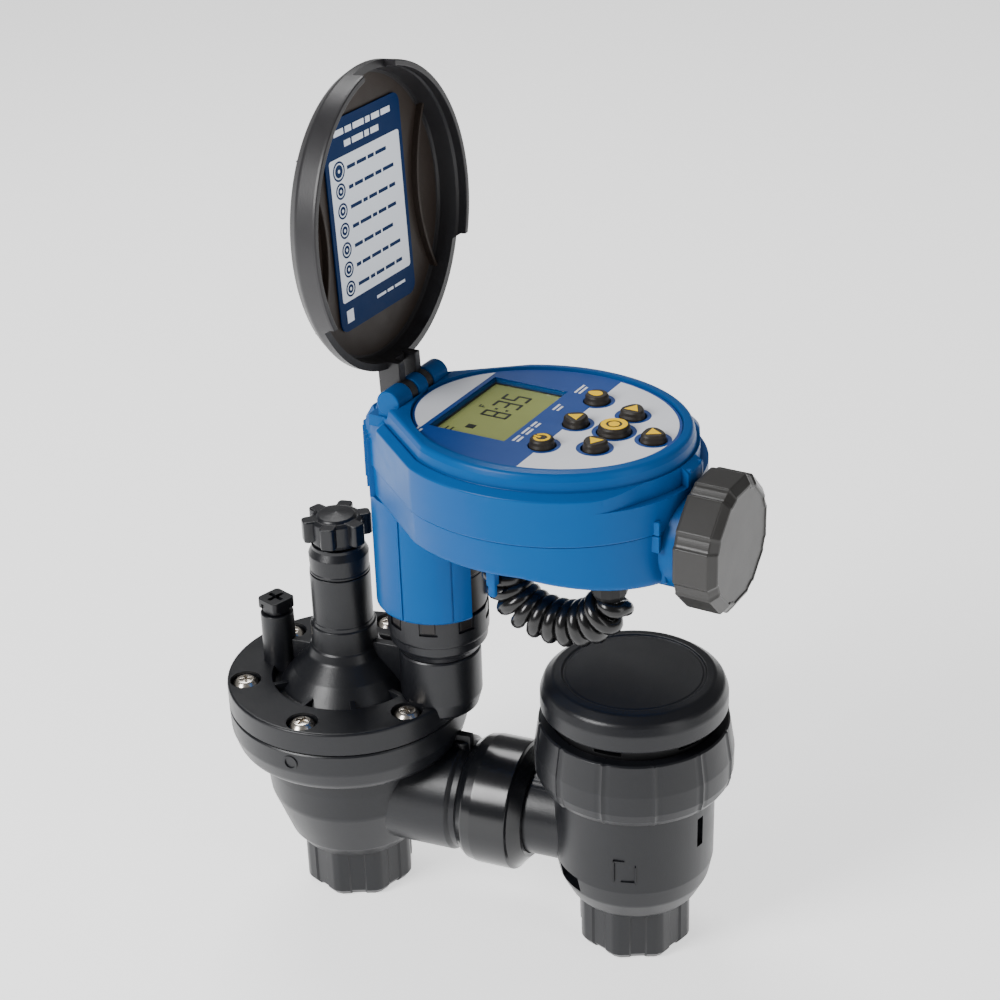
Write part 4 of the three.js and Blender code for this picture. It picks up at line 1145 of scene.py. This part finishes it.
def lid_rib(side):
    low, high = [], []
    for k in range(25):
        t = -1 + 2 * k / 24
        x = LID_CENTRE + 27 * t
        y = 25.3 + 7.0 * t * t
        low.append((x, side * y))
        high.append((x, side * (y + 1.1)))
    return prism(low + high[::-1], 8.2, LID_TOP - 1, 0.25)


def skirt_notch(edge, away, y0, y1):
    """Shortens the skirt from x = edge outwards to x = away, with a sloping step at the edge."""
    lean = math.copysign(2.2, away - edge)
    depth = LID_RIM + SKIRT_STEP
    side = [(edge, -10), (away, -10), (away, depth), (edge + lean, depth), (edge + lean * 0.3, depth * 0.45)]
    return moved(prism(side, -y1, -y0), Matrix.Rotation(math.radians(90), 4, "X"))


def lid():
    dish = stacked(lid_outline, [
        (3.6, 10.5), (3.2, 9.6, 0.8), (2.4, 4.0, 1), (1.9, 3.2, 0.4), (1.9, LID_RIM, 0.3),
        (0.1, LID_RIM, 0.4), (0, 1.2, 0.4), (0.2, 7.5, 3), (2.6, 11.2, 3), (6.5, LID_TOP, 2), (12, LID_TOP),
    ])
    lugs = []
    for low, high in ((-6.3, -2.9), (3.2, 6.3)):
        barrel = turned([(0, low), (3.9, low, 0.4), (3.9, high, 0.4), (0, high)], steps=64)
        lugs.append(moved(barrel, Matrix.Rotation(math.radians(-90), 4, "X")))
        lugs.append(block((-1.5, LID_CENTRE - LID_SIZE[0] + 3), (low, high), (LID_RIM, 8.5), 0.4))
    pin = moved(rod(1.7, -20, 20, steps=32), Matrix.Rotation(math.radians(90), 4, "X"))
    for x0, x1, y0, y1 in SKIRT_CUTS:
        dish = cut(dish, skirt_notch(x0, x1, y0, y1))
    body = cut(joined(dish, *lugs), pin)
    shown("lid_dish", body, LID, "lid", LID_GREY, ["lid"], bevel=0.2)
    shown("lid_ribs", merged([lid_rib(-1), lid_rib(1)]), LID, "lid", LID_FLOOR)
    skin = prism(oval(LID_CENTRE, LID_SIZE[0] - 4.4, LID_SIZE[1] - 4.4, 160), 10.42, 10.62)
    shown("lid_floor_skin", skin, LID, "lid", LID_FLOOR)


def rounded_rectangle(x0, x1, half, corner, steps=8):
    points = []
    for cx, cy, start in ((x1 - corner, half - corner, 0), (x0 + corner, half - corner, 90),
                          (x0 + corner, corner - half, 180), (x1 - corner, corner - half, 270)):
        for k in range(steps + 1):
            angle = math.radians(start + 90 * k / steps)
            points.append((cx + corner * math.cos(angle), cy + corner * math.sin(angle)))
    return points


def word_bars(x, width, y0, y1, z):
    """A line of plain blocks of word-like lengths, generic in place of a caption."""
    words, lengths, y, k = [], (5.2, 3.4, 6.0, 2.4, 4.4), y0, round(abs(x)) % 5
    while y < y1 - 1.5:
        length = min(lengths[k % 5], y1 - y)
        words.append(block((x - width / 2, x + width / 2), (y, y + length), z))
        y += length + 0.9
        k += 1
    return words


def lid_label():
    floor = 10.2
    x0, x1, half = LID_CENTRE - 31.5, LID_CENTRE + 34, 21.2
    film = prism(rounded_rectangle(x0, x1, half, 3.5), floor - 0.5, floor)
    shown("lid_film", film, LID, "lid", DEEP_BLUE, ["lid_label"], bevel=0.08)
    top = floor - 0.5
    panel = prism(rounded_rectangle(x0 + 9.3, x1 - 11.6, half - 1.9, 1.0), top - 0.05, top)
    shown("lid_panel", panel, LID, "lid", PALE_BLUE)
    rows, icon_y = 7, -14.6
    start, end = x1 - 15.6, x0 + 12.9
    thin = (top - 0.1, top - 0.02)
    dark, pale = [], []
    for i in range(rows):
        x = start + (end - start) * i / (rows - 1)
        radius = 3.1 if i == 0 else 2.5
        dark.append(tube(radius - 0.6, radius, *thin, x, icon_y, steps=40))
        dark.append(rod(radius - 1.1, *thin, x, icon_y, steps=32))
        pale.append(rod(0.55, top - 0.13, top - 0.08, x, icon_y, steps=24))
        dark += word_bars(x, 1.15, -10.2, 13.0 + 1.3 * ((i * 3) % 4), thin)
    shown("lid_marks_dark", merged(dark), LID, "lid", DEEP_BLUE)
    pale += word_bars(x1 - 4.2, 1.9, -15.5, 15.5, thin) + word_bars(x1 - 8.2, 1.9, -10.5, 10.5, thin)
    pale += word_bars(x0 + 5.4, 0.9, -1.0, 16.5, thin)
    pale.append(block((x0 + 2.6, x0 + 6.6), (-18.0, -14.4), thin))
    shown("lid_marks_pale", merged(pale), LID, "lid", PALE_BLUE)


def hinge_pin():
    pin = moved(turned([(0, -14.6), (1.5, -14.6, 0.3), (1.5, 13.6, 0.3), (0, 13.6)], steps=32),
                HINGE_LINE)
    shown("hinge_rod", pin, HEAD, "head", STEEL, ["hinge_pin"])


# ---- inner pieces, kept from the frame -------------------------------------------------------------
KEPT = {
    "diaphragm": RUBBER, "flow_control_stem": BLACK, "flow_stem_o_ring": RUBBER,
    "bleed_screw_o_ring": RUBBER, "solenoid_o_ring": RUBBER, "solenoid_plunger": STEEL,
    "outlet_coupling_o_ring": RUBBER, "breaker_float": WHITE, "breaker_float_seal": RUBBER,
    "case_gasket": RUBBER, **{f"case_screw_{i}": STEEL for i in (1, 2, 3, 4)},
    "circuit_board": BOARD, "keypad_frame": KEY_RUBBER, "battery": CELL, "battery_contacts": BRASS,
    "battery_cap_seal": RUBBER, "cord_gland_1": DEEP_BLACK, "cord_gland_2": DEEP_BLACK,
}


def keep_inner_pieces():
    for node, mat in KEPT.items():
        obj = frame["nodes"][node]
        obj.data.materials.clear()
        obj.data.materials.append(mat)


# ---- the scene -------------------------------------------------------------------------------------
make_camera()
make_cord()
make_stage()
valve_body()
valve_bonnet()
bonnet_screws()
flow_control()
bleed()
springs()
solenoid()
outlet()
breaker_body()
breaker_collar()
breaker_top()
lower_housing()
upper_housing()
face_label()
face_print()
face_marks()
display()
buttons()
battery_cap()
lid()
lid_label()
hinge_pin()
keep_inner_pieces()
